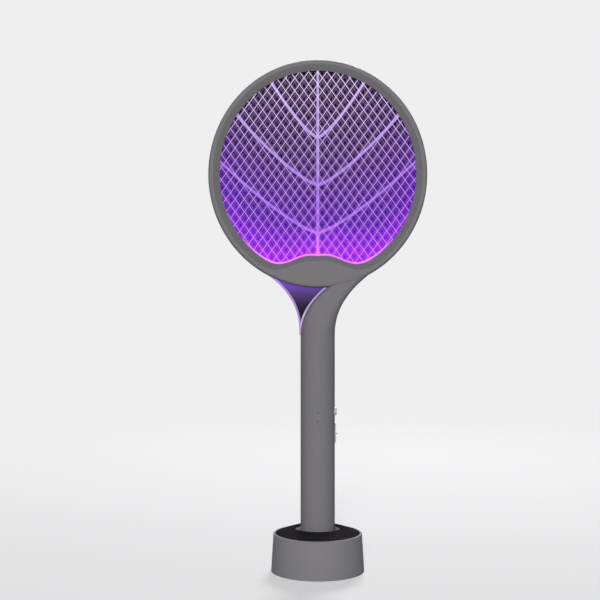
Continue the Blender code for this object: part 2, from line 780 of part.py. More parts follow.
def band_width(edge, z, width):
    """Level width of a band whose width square to its edge is given."""
    step = NECK_RISE / 100
    slope = (edge(z + step) - edge(z - step)) / (2 * step)
    return width * math.hypot(1, slope)


def window_edges(inset):
    """The two inner edges of the light guide, moved inwards."""

    def left(z):
        return guide_left(z) + band_width(guide_left, z, GUIDE_WIDTH + inset)

    def right(z):
        return guide_right(z) - band_width(guide_right, z, GUIDE_WIDTH + inset)

    return left, right


def edge_points(edge, low, high):
    """(x, z) points up an edge."""
    heights = [low + (high - low) * step / GUIDE_STEPS for step in range(GUIDE_STEPS + 1)]
    return [(edge(z), z) for z in heights]


def ring_arc(first, last):
    """(x, z) points along the head's outside between two x values, without the ends."""
    points = []
    for step in range(1, GUIDE_STEPS):
        x = first + (last - first) * step / GUIDE_STEPS
        turn = math.asin(x / (HEAD_HALF_WIDTH + RING_OUTSIDE))
        _, _, z = head_point(turn, RING_OUTSIDE, 0)
        points.append((x, z))
    return points


def inner_apex(left, right):
    """Height at which the two inner edges part."""
    z = NECK_START
    while right(z) <= left(z):
        z += FIT
    return z


def lamp_window():
    """The light guide round the window and the violet window inside it."""
    fine = FIT / 30
    tail = NECK_START + GUIDE_TAIL_RISE
    left, right = window_edges(0)
    apex = inner_apex(left, right)
    outer_left = edge_points(guide_left, tail, curve_end(guide_left, fine, RING_OUTSIDE))
    outer_right = edge_points(guide_right, tail, curve_end(guide_right, fine, RING_OUTSIDE))
    inner_left = edge_points(left, apex, curve_end(left, fine, RING_OUTSIDE))
    inner_right = edge_points(right, apex, curve_end(right, fine, RING_OUTSIDE))
    outline = outer_left + ring_arc(outer_left[-1][0], inner_left[-1][0])
    outline += inner_left[::-1] + inner_right[1:]
    outline += ring_arc(inner_right[-1][0], outer_right[-1][0]) + outer_right[::-1]
    guide = plate("light_guide", outline, -GUIDE_HALF_DEPTH, GUIDE_HALF_DEPTH, "light_guide")
    left, right = window_edges(FIT)
    apex = inner_apex(left, right)
    pane_left = edge_points(left, apex, curve_end(left, fine, RING_OUTSIDE))
    pane_right = edge_points(right, apex, curve_end(right, fine, RING_OUTSIDE))
    outline = pane_left + ring_arc(pane_left[-1][0], pane_right[-1][0]) + pane_right[:0:-1]
    window = plate("lamp_window", outline, -WINDOW_HALF_DEPTH, WINDOW_HALF_DEPTH, "violet_window")
    return [guide, window]


def end_cap():
    """The cap in the handle's lower end and its two charging contacts."""
    profile = [
        (HANDLE_RADIUS, HANDLE_BOTTOM),
        (HANDLE_RADIUS, HANDLE_BOTTOM + END_CAP_FLANGE),
        (CAVITY_RADIUS - FIT, HANDLE_BOTTOM + END_CAP_FLANGE),
        (CAVITY_RADIUS - FIT, END_CAP_TOP),
    ]
    cap = turned_solid("end_cap", profile, HANDLE_STEPS, "dark_plastic")
    pieces = [cap]
    for hand, where in ((-1, "left"), (1, "right")):
        centre = (hand * PIN_SPACING / 2, 0, HANDLE_BOTTOM)
        profile = [(PAD_RADIUS + FIT, -CUT_REACH), (PAD_RADIUS + FIT, PAD_THICKNESS + FIT)]
        pocket = turned_solid("pad_pocket_" + where, profile, SMALL_STEPS, "dark_plastic")
        combine(cap, place(pocket, centre), "DIFFERENCE")
        profile = [(PAD_RADIUS, 0), (PAD_RADIUS, PAD_THICKNESS)]
        pad = turned_solid("contact_pad_" + where, profile, SMALL_STEPS, "brass")
        pieces.append(place(pad, centre))
    return pieces


def battery():
    """The cell on the handle's axis and the two collars that hold it."""
    shoulder = BATTERY_RADIUS / 8
    profile = [
        (BATTERY_RADIUS - shoulder, BATTERY_BOTTOM),
        (BATTERY_RADIUS, BATTERY_BOTTOM + shoulder),
        (BATTERY_RADIUS, BATTERY_TOP - shoulder),
        (BATTERY_RADIUS - shoulder, BATTERY_TOP),
    ]
    pieces = [turned_solid("battery_cell", profile, HANDLE_STEPS, "battery_wrap")]
    lows = {
        "lower": BATTERY_BOTTOM + COLLAR_FROM_END,
        "upper": BATTERY_TOP - COLLAR_FROM_END - COLLAR_HEIGHT,
    }
    for where, low in lows.items():
        inner = BATTERY_RADIUS + FIT
        outer = CAVITY_RADIUS - FIT
        high = low + COLLAR_HEIGHT
        profile = [(outer, high), (outer, low), (inner, low), (inner, high)]
        pieces.append(turned_ring("battery_collar_" + where, profile, HANDLE_STEPS, "foam"))
    return pieces


def indicator_heights():
    """Heights of the two indicators: level with the button and a little below."""
    return [BUTTON_HEIGHT, BUTTON_HEIGHT - INDICATOR_DROP]


def control_board():
    """The board in the handle with its transformer, capacitors, switches and indicators."""
    half_width = math.sqrt((CAVITY_RADIUS - FIT) ** 2 - BOARD_BACK**2)
    low = (-half_width, BOARD_FRONT, BOARD_BOTTOM)
    pieces = [block("control_board", low, (half_width, BOARD_BACK, BOARD_TOP), "circuit_board")]
    seat = BOARD_FRONT - FIT
    half = TRANSFORMER_WIDTH / 2
    front = -math.sqrt((CAVITY_RADIUS - TRANSFORMER_SIDE_ROOM) ** 2 - half**2)
    high = (half, seat, TRANSFORMER_BOTTOM + TRANSFORMER_HEIGHT)
    pieces.append(block("transformer", (-half, front, TRANSFORMER_BOTTOM), high, "component"))
    for hand, where in ((-1, "left"), (1, "right")):
        x = hand * CAPACITOR_SPACING / 2
        low = (x - CAPACITOR_WIDTH / 2, seat - CAPACITOR_DEPTH, CAPACITOR_BOTTOM)
        high = (x + CAPACITOR_WIDTH / 2, seat, CAPACITOR_BOTTOM + CAPACITOR_HEIGHT)
        pieces.append(block("capacitor_" + where, low, high, "component"))
    low = (SWITCH_FACE - TACT_LENGTH, -SWITCH_FRONT, BUTTON_HEIGHT - TACT_HALF_HEIGHT)
    high = (SWITCH_FACE, seat, BUTTON_HEIGHT + TACT_HALF_HEIGHT)
    pieces.append(block("push_switch", low, high, "component"))
    low = (SWITCH_FACE - SLIDE_SWITCH_LENGTH, -SWITCH_FRONT, SLIDER_HEIGHT - SLIDE_SWITCH_HALF_HEIGHT)
    high = (SWITCH_FACE, seat, SLIDER_HEIGHT + SLIDE_SWITCH_HALF_HEIGHT)
    pieces.append(block("slide_switch", low, high, "steel"))
    chip_front = seat - INDICATOR_CHIP_HEIGHT
    half = INDICATOR_CHIP / 2
    for height, where in zip(indicator_heights(), ("upper", "lower")):
        low = (-half, chip_front, height - half)
        pieces.append(block("indicator_chip_" + where, low, (half, seat, height + half), "lamp_lens"))
        profile = [(INDICATOR_RADIUS, -HANDLE_RADIUS), (INDICATOR_RADIUS, chip_front - FIT)]
        pipe = turned_solid("indicator_" + where, profile, SMALL_STEPS, "light_guide")
        pieces.append(place(pipe, (0, 0, height), "Y"))
    return pieces


# Button and slider


def oval(x, half_width, half_height):
    """Points of an upright oval across the X axis at the button's height."""
    points = []
    for step in range(SMALL_STEPS * 2):
        turn = math.tau * step / (SMALL_STEPS * 2)
        points.append((x, half_width * math.cos(turn), BUTTON_HEIGHT + half_height * math.sin(turn)))
    return points


def zap_button():
    """The push button: a cap with a rounded face, and a flange inside that keeps it in."""
    top = HANDLE_RADIUS + BUTTON_PROUD
    neck = CAVITY_RADIUS - BUTTON_FLANGE_INSET
    foot = SWITCH_FACE + FIT + BUTTON_TRAVEL
    stations = [
        (foot, BUTTON_FLANGE),
        (neck, BUTTON_FLANGE),
        (neck, 0),
        (top - BUTTON_ROUND, 0),
        (top - BUTTON_ROUND / 4, -BUTTON_ROUND / 2),
        (top, -BUTTON_ROUND * 3 / 2),
    ]
    loops = [oval(x, BUTTON_HALF_WIDTH + more, BUTTON_HALF_HEIGHT + more) for x, more in stations]
    button = skin("zap_button", loops, "pale_plastic")
    set_origin(button, (HANDLE_RADIUS, 0, BUTTON_HEIGHT))
    return button


def mode_slider():
    """The slide switch's knob: a curved plate with a thumb rib, and a stem through the slot."""
    angle = math.asin(SLIDER_HALF_WIDTH / HANDLE_RADIUS)
    steps = 6

    def arc_plate(name, inner, outer, half_height):
        outline = []
        for radius, order in ((inner, 1), (outer, -1)):
            turns = [angle * (2 * step / steps - 1) for step in range(steps + 1)]
            outline += [(radius * math.cos(turn), radius * math.sin(turn)) for turn in turns[::order]]
        heights = (SLIDER_HEIGHT - half_height, SLIDER_HEIGHT + half_height)
        return skin(name, [[(x, y, z) for x, y in outline] for z in heights], "pale_plastic")

    inner = HANDLE_RADIUS + FIT
    outer = HANDLE_RADIUS + SLIDER_PROUD
    slider = arc_plate("mode_slider", inner, outer, SLIDER_HALF_HEIGHT)
    middle = (inner + outer) / 2
    ridge = arc_plate("slider_rib", middle, HANDLE_RADIUS + SLIDER_RIB_PROUD, SLIDER_RIB_HALF_HEIGHT)
    combine(slider, ridge, "UNION")
    low = (SWITCH_FACE + FIT, -SLIDER_STEM_HALF_WIDTH, SLIDER_HEIGHT - SLIDER_STEM_HALF_HEIGHT)
    high = (middle, SLIDER_STEM_HALF_WIDTH, SLIDER_HEIGHT + SLIDER_STEM_HALF_HEIGHT)
    stem = block("slider_stem", low, high, "pale_plastic")
    for piece in (slider, ridge, stem):
        set_origin(piece, (HANDLE_RADIUS, 0, SLIDER_HEIGHT))
    combine(slider, stem, "UNION")
    return slider


# Leads


def turn_at(x, beyond):
    """The turn at which a hoop's outer edge passes this x, by repeated correction."""
    turn = 0.0
    for _ in range(40):
        turn = math.asin(x / (HEAD_HALF_WIDTH + opening_reach(turn) + beyond))
    return turn


def lead(name, points, finish):
    """A round lead through points."""
    curve = bpy.data.curves.new(name, "CURVE")
    curve.dimensions = "3D"
    curve.bevel_depth = LEAD_RADIUS
    curve.bevel_resolution = 1
    curve.use_fill_caps = True
    spline = curve.splines.new("POLY")
    spline.points.add(len(points) - 1)
    for point, target in zip(spline.points, points):
        point.co = (*target, 1.0)
    curve.materials.append(material(finish))
    obj = bpy.data.objects.new(name, curve)
    bpy.context.scene.collection.objects.link(obj)
    return obj


def leads():
    """Leads up the neck and through a notch in the ring to the grid, the front net and the lamps."""
    board_low = HEAD_CENTRE - HEAD_HALF_HEIGHT - HEAD_BULGE + RING_WALL + LAMP_BOARD_LIFT
    _, _, wall = head_point(math.asin(LEAD_EXIT_X / HEAD_HALF_WIDTH), HEAD_BULGE - RING_WALL, 0)
    start = BOARD_TOP + FIT
    finishes = {"lamp_lead": "lead_black", "grid_lead": "lead_red", "guard_lead": "lead_black"}
    beyond = HOOP_COVER + NET_HOOP_WIDTH
    seat = beyond + FIT + LEAD_RADIUS / 2
    pieces = []
    for index, (name, finish) in enumerate(finishes.items()):
        offset = (index - 1) * LEAD_PITCH
        bend = wall - LEAD_RISE
        exit_offset = LEAD_EXIT_X - (neck_left(bend) + neck_right(bend)) / 2
        points = []
        for step in range(LEAD_STEPS):
            share = step / LEAD_STEPS
            z = start + (bend - start) * share
            middle = (neck_left(z) + neck_right(z)) / 2
            x = middle + LEAD_START_X * (1 - share) + exit_offset * share + offset
            points.append((x, (BOARD_FRONT + BOARD_BACK) / 2 * (1 - share) ** 2, z))
        x = LEAD_EXIT_X + offset
        points.append((x, 0, bend))
        points.append((x, 0, wall))
        if name == "lamp_lead":
            level = board_low + BOARD_THICKNESS / 2
            points.append((x, 0, (wall + level) / 2))
            points.append((x - LEAD_RADIUS, 0, level - LEAD_RADIUS))
            points.append((x - LEAD_RADIUS * 2, 0, level))
            points.append((LAMP_BOARD_HALF_WIDTH + FIT, 0, level))
        else:
            _, _, top = head_point(turn_at(x, beyond), opening_reach(turn_at(x, beyond)) + seat, 0)
            rest = top - wall
            if name == "guard_lead":
                y = -(GUARD_OUTER + GUARD_INNER) / 2
                points.append((x, y / 4, wall + rest * 0.3))
                points.append((x, y * 3 / 4, wall + rest * 0.6))
                points.append((x, y, wall + rest * 0.85))
                points.append((x, y, top))
            else:
                points.append((x, 0, wall + rest / 2))
                points.append((x, 0, top))
        pieces.append(lead(name, points, finish))
    return pieces


def lead_notch(name):
    """A cutter for the notch in the ring's wall that the leads pass through."""
    half = LEAD_PITCH + LEAD_RADIUS + NOTCH_MARGIN
    _, _, wall = head_point(math.asin(LEAD_EXIT_X / HEAD_HALF_WIDTH), 0, 0)
    low = (LEAD_EXIT_X - half, -NOTCH_HALF_DEPTH, wall - CUT_REACH)
    high = (LEAD_EXIT_X + half, NOTCH_HALF_DEPTH, wall + RING_WALL * 2)
    return block(name, low, high, "grey_plastic")


def head():
    """Rings, nets, rib frames, lit strips and lamps."""
    pieces = []
    for where, side in (("front", FRONT), ("rear", REAR)):
        ring = ring_half(where + "_ring", side)
        combine(ring, lead_notch(where + "_lead_notch"), "DIFFERENCE")
        low, high = sorted((side * GUARD_INNER, side * GUARD_OUTER))
        guard = net(where + "_guard_net", GUARD_CELL_WIDTH, GUARD_CELL_HEIGHT, low, high)
        pieces += [ring, guard, rib_frame(where + "_rib_frame", side)]
        pieces.append(glow_strip(where + "_glow_strip", side))
    half = NET_THICKNESS / 2
    pieces.append(net("shock_grid", GRID_CELL_WIDTH, GRID_CELL_HEIGHT, -half, half))
    return pieces + lamp_board()


# Stand


def stand_radius(z):
    """Outside radius of the stand's side at this height."""
    share = (z - PLATE_BOTTOM) / (STAND_HEIGHT - PLATE_BOTTOM)
    return STAND_BOTTOM_RADIUS + (STAND_TOP_RADIUS - STAND_BOTTOM_RADIUS) * share


def stand_casing():
    """Side wall, domed top and bottom plate."""
    rim = STAND_TOP_RADIUS - RIM_WIDTH
    ledge = STAND_HEIGHT - LEDGE_DEPTH
    under = ledge - LEDGE_THICKNESS
    turn_in = stand_radius(under - LEDGE_WIDTH) - STAND_WALL
    profile = [
        (STAND_BOTTOM_RADIUS, PLATE_BOTTOM),
        (stand_radius(STAND_HEIGHT - STAND_EDGE), STAND_HEIGHT - STAND_EDGE),
        (STAND_TOP_RADIUS - STAND_EDGE, STAND_HEIGHT),
        (rim, STAND_HEIGHT),
        (rim, ledge),
        (rim - LEDGE_WIDTH, ledge),
        (rim - LEDGE_WIDTH, under),
        (turn_in, under - LEDGE_WIDTH),
        (STAND_BOTTOM_RADIUS - STAND_WALL, PLATE_BOTTOM),
    ]
    shell = turned_ring("stand_shell", profile[::-1], STAND_STEPS, "grey_plastic")
    half = INLET_WIDTH / 2 + INLET_HOLE_MARGIN
    low = (-half, STAND_BOTTOM_RADIUS - CUT_REACH, inlet_bottom() - INLET_HOLE_MARGIN)
    high = (half, STAND_BOTTOM_RADIUS + CUT_REACH, inlet_bottom() + INLET_HEIGHT + INLET_HOLE_MARGIN)
    combine(shell, block("inlet_hole", low, high, "grey_plastic"), "DIFFERENCE")
    outer = rim - FIT
    inner = MOUTH_RADIUS + SLEEVE_WALL + FIT
    edge = ledge + FIT
    profile = [
        (outer, edge),
        (outer, STAND_HEIGHT - FIT),
        (inner, MOUTH_HEIGHT - FIT),
        (inner, MOUTH_HEIGHT - FIT - DOME_THICKNESS),
        (outer - DOME_THICKNESS, edge),
    ]
    top = turned_ring("stand_top", profile[::-1], STAND_STEPS, "dark_plastic")
    radius = stand_radius(PLATE_TOP) - STAND_WALL - FIT
    profile = [(radius, PLATE_BOTTOM), (radius, PLATE_TOP)]
    bottom = turned_solid("stand_bottom", profile, STAND_STEPS, "dark_plastic")
    profile = [
        (FOOT_OUTER_RADIUS, 0),
        (FOOT_OUTER_RADIUS, FOOT_THICKNESS),
        (FOOT_INNER_RADIUS, FOOT_THICKNESS),
        (FOOT_INNER_RADIUS, 0),
    ]
    foot = turned_ring("foot_ring", profile, STAND_STEPS, "rubber")
    return [shell, top, bottom, foot]


def socket_sleeve():
    """The tube that takes the handle, with a funnel mouth, a floor and holes for the pins."""
    outer = SOCKET_RADIUS + SLEEVE_WALL
    lip = MOUTH_RADIUS + SLEEVE_WALL
    slope = DOME_RISE / (STAND_TOP_RADIUS - RIM_WIDTH - lip)
    flange_top = MOUTH_HEIGHT - DOME_THICKNESS - FIT * 4
    flange_drop = slope * SLEEVE_FLANGE_WIDTH
    profile = [
        (outer, SLEEVE_BOTTOM),
        (outer, MOUTH_HEIGHT - FUNNEL_DEPTH - SLEEVE_WALL),
        (lip, flange_top - flange_drop - SLEEVE_FLANGE_THICKNESS),
        (lip + SLEEVE_FLANGE_WIDTH, flange_top - flange_drop - SLEEVE_FLANGE_THICKNESS),
        (lip + SLEEVE_FLANGE_WIDTH, flange_top - flange_drop),
        (lip, flange_top),
        (lip, MOUTH_HEIGHT),
        (MOUTH_RADIUS, MOUTH_HEIGHT),
        (SOCKET_RADIUS, MOUTH_HEIGHT - FUNNEL_DEPTH),
        (SOCKET_RADIUS, SOCKET_FLOOR),
    ]
    sleeve = turned_solid("socket_sleeve", profile, STAND_STEPS, "grey_plastic")
    for hand, where in ((-1, "left"), (1, "right")):
        radius = PIN_RADIUS + FIT
        profile = [(radius, SLEEVE_BOTTOM - CUT_REACH / 2), (radius, SOCKET_FLOOR + CUT_REACH / 2)]
        hole = turned_solid("pin_hole_" + where, profile, SMALL_STEPS, "grey_plastic")
        combine(sleeve, place(hole, (hand * PIN_SPACING / 2, 0, 0)), "DIFFERENCE")
    return [sleeve]


def screw_places():
    """Centres of the stand's screws, the first one at the front."""
    places = []
    for index in range(STAND_SCREWS):
        turn = math.tau * index / STAND_SCREWS - math.pi / 2
        places.append((STAND_SCREW_RADIUS * math.cos(turn), STAND_SCREW_RADIUS * math.sin(turn), 0))
    return places


def ballast(bottom):
    """The open steel ring on the bottom plate, and the screws that hold it there."""
    gap = math.asin(BALLAST_GAP_HALF_WIDTH / BALLAST_INNER_RADIUS)
    low = PLATE_TOP + FIT
    high = low + BALLAST_HEIGHT
    section = [
        (BALLAST_INNER_RADIUS, low),
        (BALLAST_OUTER_RADIUS, low),
        (BALLAST_OUTER_RADIUS, high),
        (BALLAST_INNER_RADIUS, high),
    ]
    loops = []
    for step in range(BALLAST_STEPS + 1):
        turn = math.pi / 2 + gap + (math.tau - 2 * gap) * step / BALLAST_STEPS
        loops.append([(r * math.cos(turn), r * math.sin(turn), z) for r, z in section])
    ring = skin("ballast", loops, "steel")
    pieces = [ring]
    seat = PLATE_BOTTOM + FIT + STAND_SCREW_HEAD
    hole = SCREW_SHANK_RADIUS + FIT
    for index, centre in enumerate(screw_places()):
        head_hole = SCREW_HEAD_RADIUS + FIT
        profile = [
            (head_hole, PLATE_BOTTOM - CUT_REACH),
            (head_hole, seat + FIT),
            (hole, seat + FIT),
            (hole, PLATE_TOP + CUT_REACH),
        ]
        bore = turned_solid(f"stand_screw_bore_{index}", profile, SMALL_STEPS, "steel")
        combine(bottom, place(bore, centre), "DIFFERENCE")
        profile = [(hole, low - CUT_REACH / 2), (hole, low + STAND_SCREW_REACH + FIT)]
        thread = turned_solid(f"ballast_hole_{index}", profile, SMALL_STEPS, "steel")
        combine(ring, place(thread, centre), "DIFFERENCE")
        profile = [
            (SCREW_HEAD_RADIUS, PLATE_BOTTOM + FIT),
            (SCREW_HEAD_RADIUS, seat),
            (SCREW_SHANK_RADIUS, seat),
            (SCREW_SHANK_RADIUS, low + STAND_SCREW_REACH),
        ]
        screw = turned_solid(f"stand_screw_{index + 1}", profile, SMALL_STEPS, "steel")
        pieces.append(place(screw, centre))
    return pieces


def inlet_bottom():
    """Underside of the charging inlet, just above the contact board."""
    return CONTACT_BOARD_TOP + FIT


def inlet_mouth():
    """How far back the inlet reaches: just inside the stand's wall at its corners."""
    inside = stand_radius(inlet_bottom() + INLET_HEIGHT) - STAND_WALL - FIT
    return math.sqrt(inside**2 - (INLET_WIDTH / 2) ** 2)


def charging_parts():
    """Contact board, charging inlet, pin barrels and the sprung pins."""
    tongue_end = inlet_mouth() - FIT
    join = math.acos(INLET_TONGUE_HALF_WIDTH / CONTACT_BOARD_RADIUS)
    steps = 24
    outline = [(INLET_TONGUE_HALF_WIDTH, tongue_end), (-INLET_TONGUE_HALF_WIDTH, tongue_end)]
    for step in range(steps + 1):
        turn = math.pi - join + (math.pi + 2 * join) * step / steps
        outline.append((CONTACT_BOARD_RADIUS * math.cos(turn), CONTACT_BOARD_RADIUS * math.sin(turn)))
    heights = (CONTACT_BOARD_BOTTOM, CONTACT_BOARD_TOP)
    pieces = [skin("contact_board", [[(x, y, z) for x, y in outline] for z in heights], "circuit_board")]
    low = inlet_bottom()
    half = INLET_WIDTH / 2
    back = inlet_mouth() - INLET_LENGTH
    inlet = block("charge_inlet", (-half, back, low), (half, inlet_mouth(), low + INLET_HEIGHT), "steel")
    half -= INLET_SHELL
    mouth = inlet_mouth() - INLET_MOUTH_DEPTH
    corner = (half, inlet_mouth() + CUT_REACH, low + INLET_HEIGHT - INLET_SHELL)
    combine(inlet, block("inlet_mouth", (-half, mouth, low + INLET_SHELL), corner, "steel"), "DIFFERENCE")
    half = INLET_TONGUE_WIDTH / 2
    middle = low + INLET_HEIGHT / 2
    foot = (-half, (back + mouth) / 2, middle - INLET_TONGUE_HEIGHT / 2)
    corner = (half, mouth + INLET_TONGUE_LENGTH, middle + INLET_TONGUE_HEIGHT / 2)
    combine(inlet, block("inlet_tongue", foot, corner, "steel"), "UNION")
    pieces.append(inlet)
    pin_top = SOCKET_FLOOR
    pin_foot = pin_top - PIN_LENGTH
    well = pin_foot - PIN_TRAVEL - FIT
    for hand, where in ((-1, "left"), (1, "right")):
        centre = (hand * PIN_SPACING / 2, 0, 0)
        bore = PIN_RADIUS + FIT
        profile = [(BARREL_RADIUS, BARREL_BOTTOM), (BARREL_RADIUS, BARREL_TOP), (bore, BARREL_TOP), (bore, well)]
        barrel = turned_solid("pin_barrel_" + where, profile, SMALL_STEPS, "brass")
        pieces.append(place(barrel, centre))
        profile = [(PIN_RADIUS, pin_foot), (PIN_RADIUS, pin_top - PIN_TIP), (PIN_RADIUS - PIN_TIP, pin_top)]
        pin = place(turned_solid("charge_pin_" + where, profile, SMALL_STEPS, "brass"), centre)
        set_origin(pin, (centre[0], 0, pin_foot))
        pieces.append(pin)
    return pieces


def group(name, location, pieces):
    """Parents pieces to an empty, which marks where the group moves from."""
    empty = bpy.data.objects.new(name, None)
    empty.location = location
    bpy.context.scene.collection.objects.link(empty)
    for piece in pieces:
        piece.parent = empty
        piece.matrix_parent_inverse = Matrix.Translation(location).inverted()


def main():
    for old in list(bpy.data.objects):
        bpy.data.objects.remove(old)
    casing = stand_casing()
    stand = casing + socket_sleeve() + ballast(casing[2]) + charging_parts()
    swatter = head() + handle_shells() + handle_screws() + lamp_window() + end_cap()
    swatter += battery() + control_board() + [zap_button(), mode_slider()] + leads()
    group("stand", (0, 0, 0), stand)
    group("swatter", (0, 0, HANDLE_BOTTOM), swatter)


main()
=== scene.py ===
"""Looks of an electric swatter with a lit oval head, standing in its round charging stand.

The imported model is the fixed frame. Every piece here is worked out in its metres and axes, with +Z up and
the front towards -Y, and rides on one of its bodies.
"""

import json
import logging
import math
from dataclasses import dataclass
from enum import Enum
from typing import Sequence

import bmesh
import bpy
import numpy as np
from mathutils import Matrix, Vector


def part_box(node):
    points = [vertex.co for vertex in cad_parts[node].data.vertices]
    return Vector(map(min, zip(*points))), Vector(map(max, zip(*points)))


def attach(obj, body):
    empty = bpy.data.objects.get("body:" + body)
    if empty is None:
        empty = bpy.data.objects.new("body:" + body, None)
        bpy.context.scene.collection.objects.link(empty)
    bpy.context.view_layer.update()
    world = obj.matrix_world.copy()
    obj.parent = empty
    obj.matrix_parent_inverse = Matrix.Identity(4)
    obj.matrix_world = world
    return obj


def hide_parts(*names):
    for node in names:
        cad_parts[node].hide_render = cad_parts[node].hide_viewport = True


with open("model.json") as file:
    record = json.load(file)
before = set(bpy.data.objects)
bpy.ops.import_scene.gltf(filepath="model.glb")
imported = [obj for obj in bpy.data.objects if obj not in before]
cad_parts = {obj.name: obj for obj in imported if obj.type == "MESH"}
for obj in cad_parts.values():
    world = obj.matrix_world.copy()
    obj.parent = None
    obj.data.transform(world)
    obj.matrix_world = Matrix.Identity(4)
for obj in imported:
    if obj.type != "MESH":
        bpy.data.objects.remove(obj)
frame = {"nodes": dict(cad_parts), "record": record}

LOG = logging.getLogger("swatter")
Array = np.ndarray
Colour = tuple[float, float, float]
Point = tuple[float, float, float]
Stop = tuple[float, Colour]
Mark = int | Array
Tree = bpy.types.NodeTree
Socket = bpy.types.NodeSocket

SIZE_DIGITS = 6
FIT = 0.0003
CORE_RADIUS = 0.0004
SMOOTH_ANGLE = math.radians(38)
HANDS = (-1, 1)


class Side(Enum):
    """The two faces of the head and the two halves of the handle."""

    FRONT = -1
    REAR = 1

    @property
    def word(self) -> str:
        """The side's name as it stands in piece names."""
        return self.name.lower()


class Body(str, Enum):
    """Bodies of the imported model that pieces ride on."""

    STAND = "stand"
    SWATTER = "swatter"
    BUTTON = "button"
    SLIDER = "slider"


class Slot(str, Enum):
    """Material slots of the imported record."""

    GREY = "grey_plastic"
    DARK = "dark_plastic"
    PALE = "pale_plastic"
    LILAC = "lilac_plastic"
    WINDOW = "violet_window"
    GUIDE = "light_guide"
    NET = "net_steel"
    BOARD = "circuit_board"
    LAMP = "lamp_lens"
    BRASS = "brass"
    STEEL = "steel"
    RUBBER = "rubber"
    BATTERY = "battery_wrap"
    FOAM = "foam"
    RED_LEAD = "lead_red"
    BLACK_LEAD = "lead_black"
    COMPONENT = "component"


class Pattern(Enum):
    """Fine surfaces that finishes share, each a node group."""

    MOULDED = "moulded_surface"
    DRAWN = "drawn_surface"
    CELLS = "cell_surface"
    TRACES = "trace_surface"


def linear(colour: Colour) -> Colour:
    """Turns a display colour of 0 to 255 into the linear one that shaders take.

    Values up to the knee are divided by a slope. The others are moved, scaled and raised to a power.

    Args:
        colour: Red, green and blue as they show on a display.

    Returns:
        The same colour, linear, from 0 to 1.
    """
    full = 255
    knee, slope = 0.04045, 12.92
    offset, stretch, power = 0.055, 1.055, 2.4
    value = np.asarray(colour, float) / full
    low = value / slope
    high = ((value + offset) / stretch) ** power
    return tuple(float(x) for x in np.where(value <= knee, low, high))


def set_inputs(node: bpy.types.Node, values: dict[str, object]) -> None:
    """Sets plain values on a node's inputs, by label."""
    for label, value in values.items():
        node.inputs[label].default_value = value


def new_object(name: str, data: bpy.types.ID) -> bpy.types.Object:
    """Puts a new object into the scene.

    Args:
        name: The object's name.
        data: Its mesh, light or camera.

    Returns:
        The object.
    """
    made = bpy.data.objects.new(name, data)
    bpy.context.scene.collection.objects.link(made)
    return made


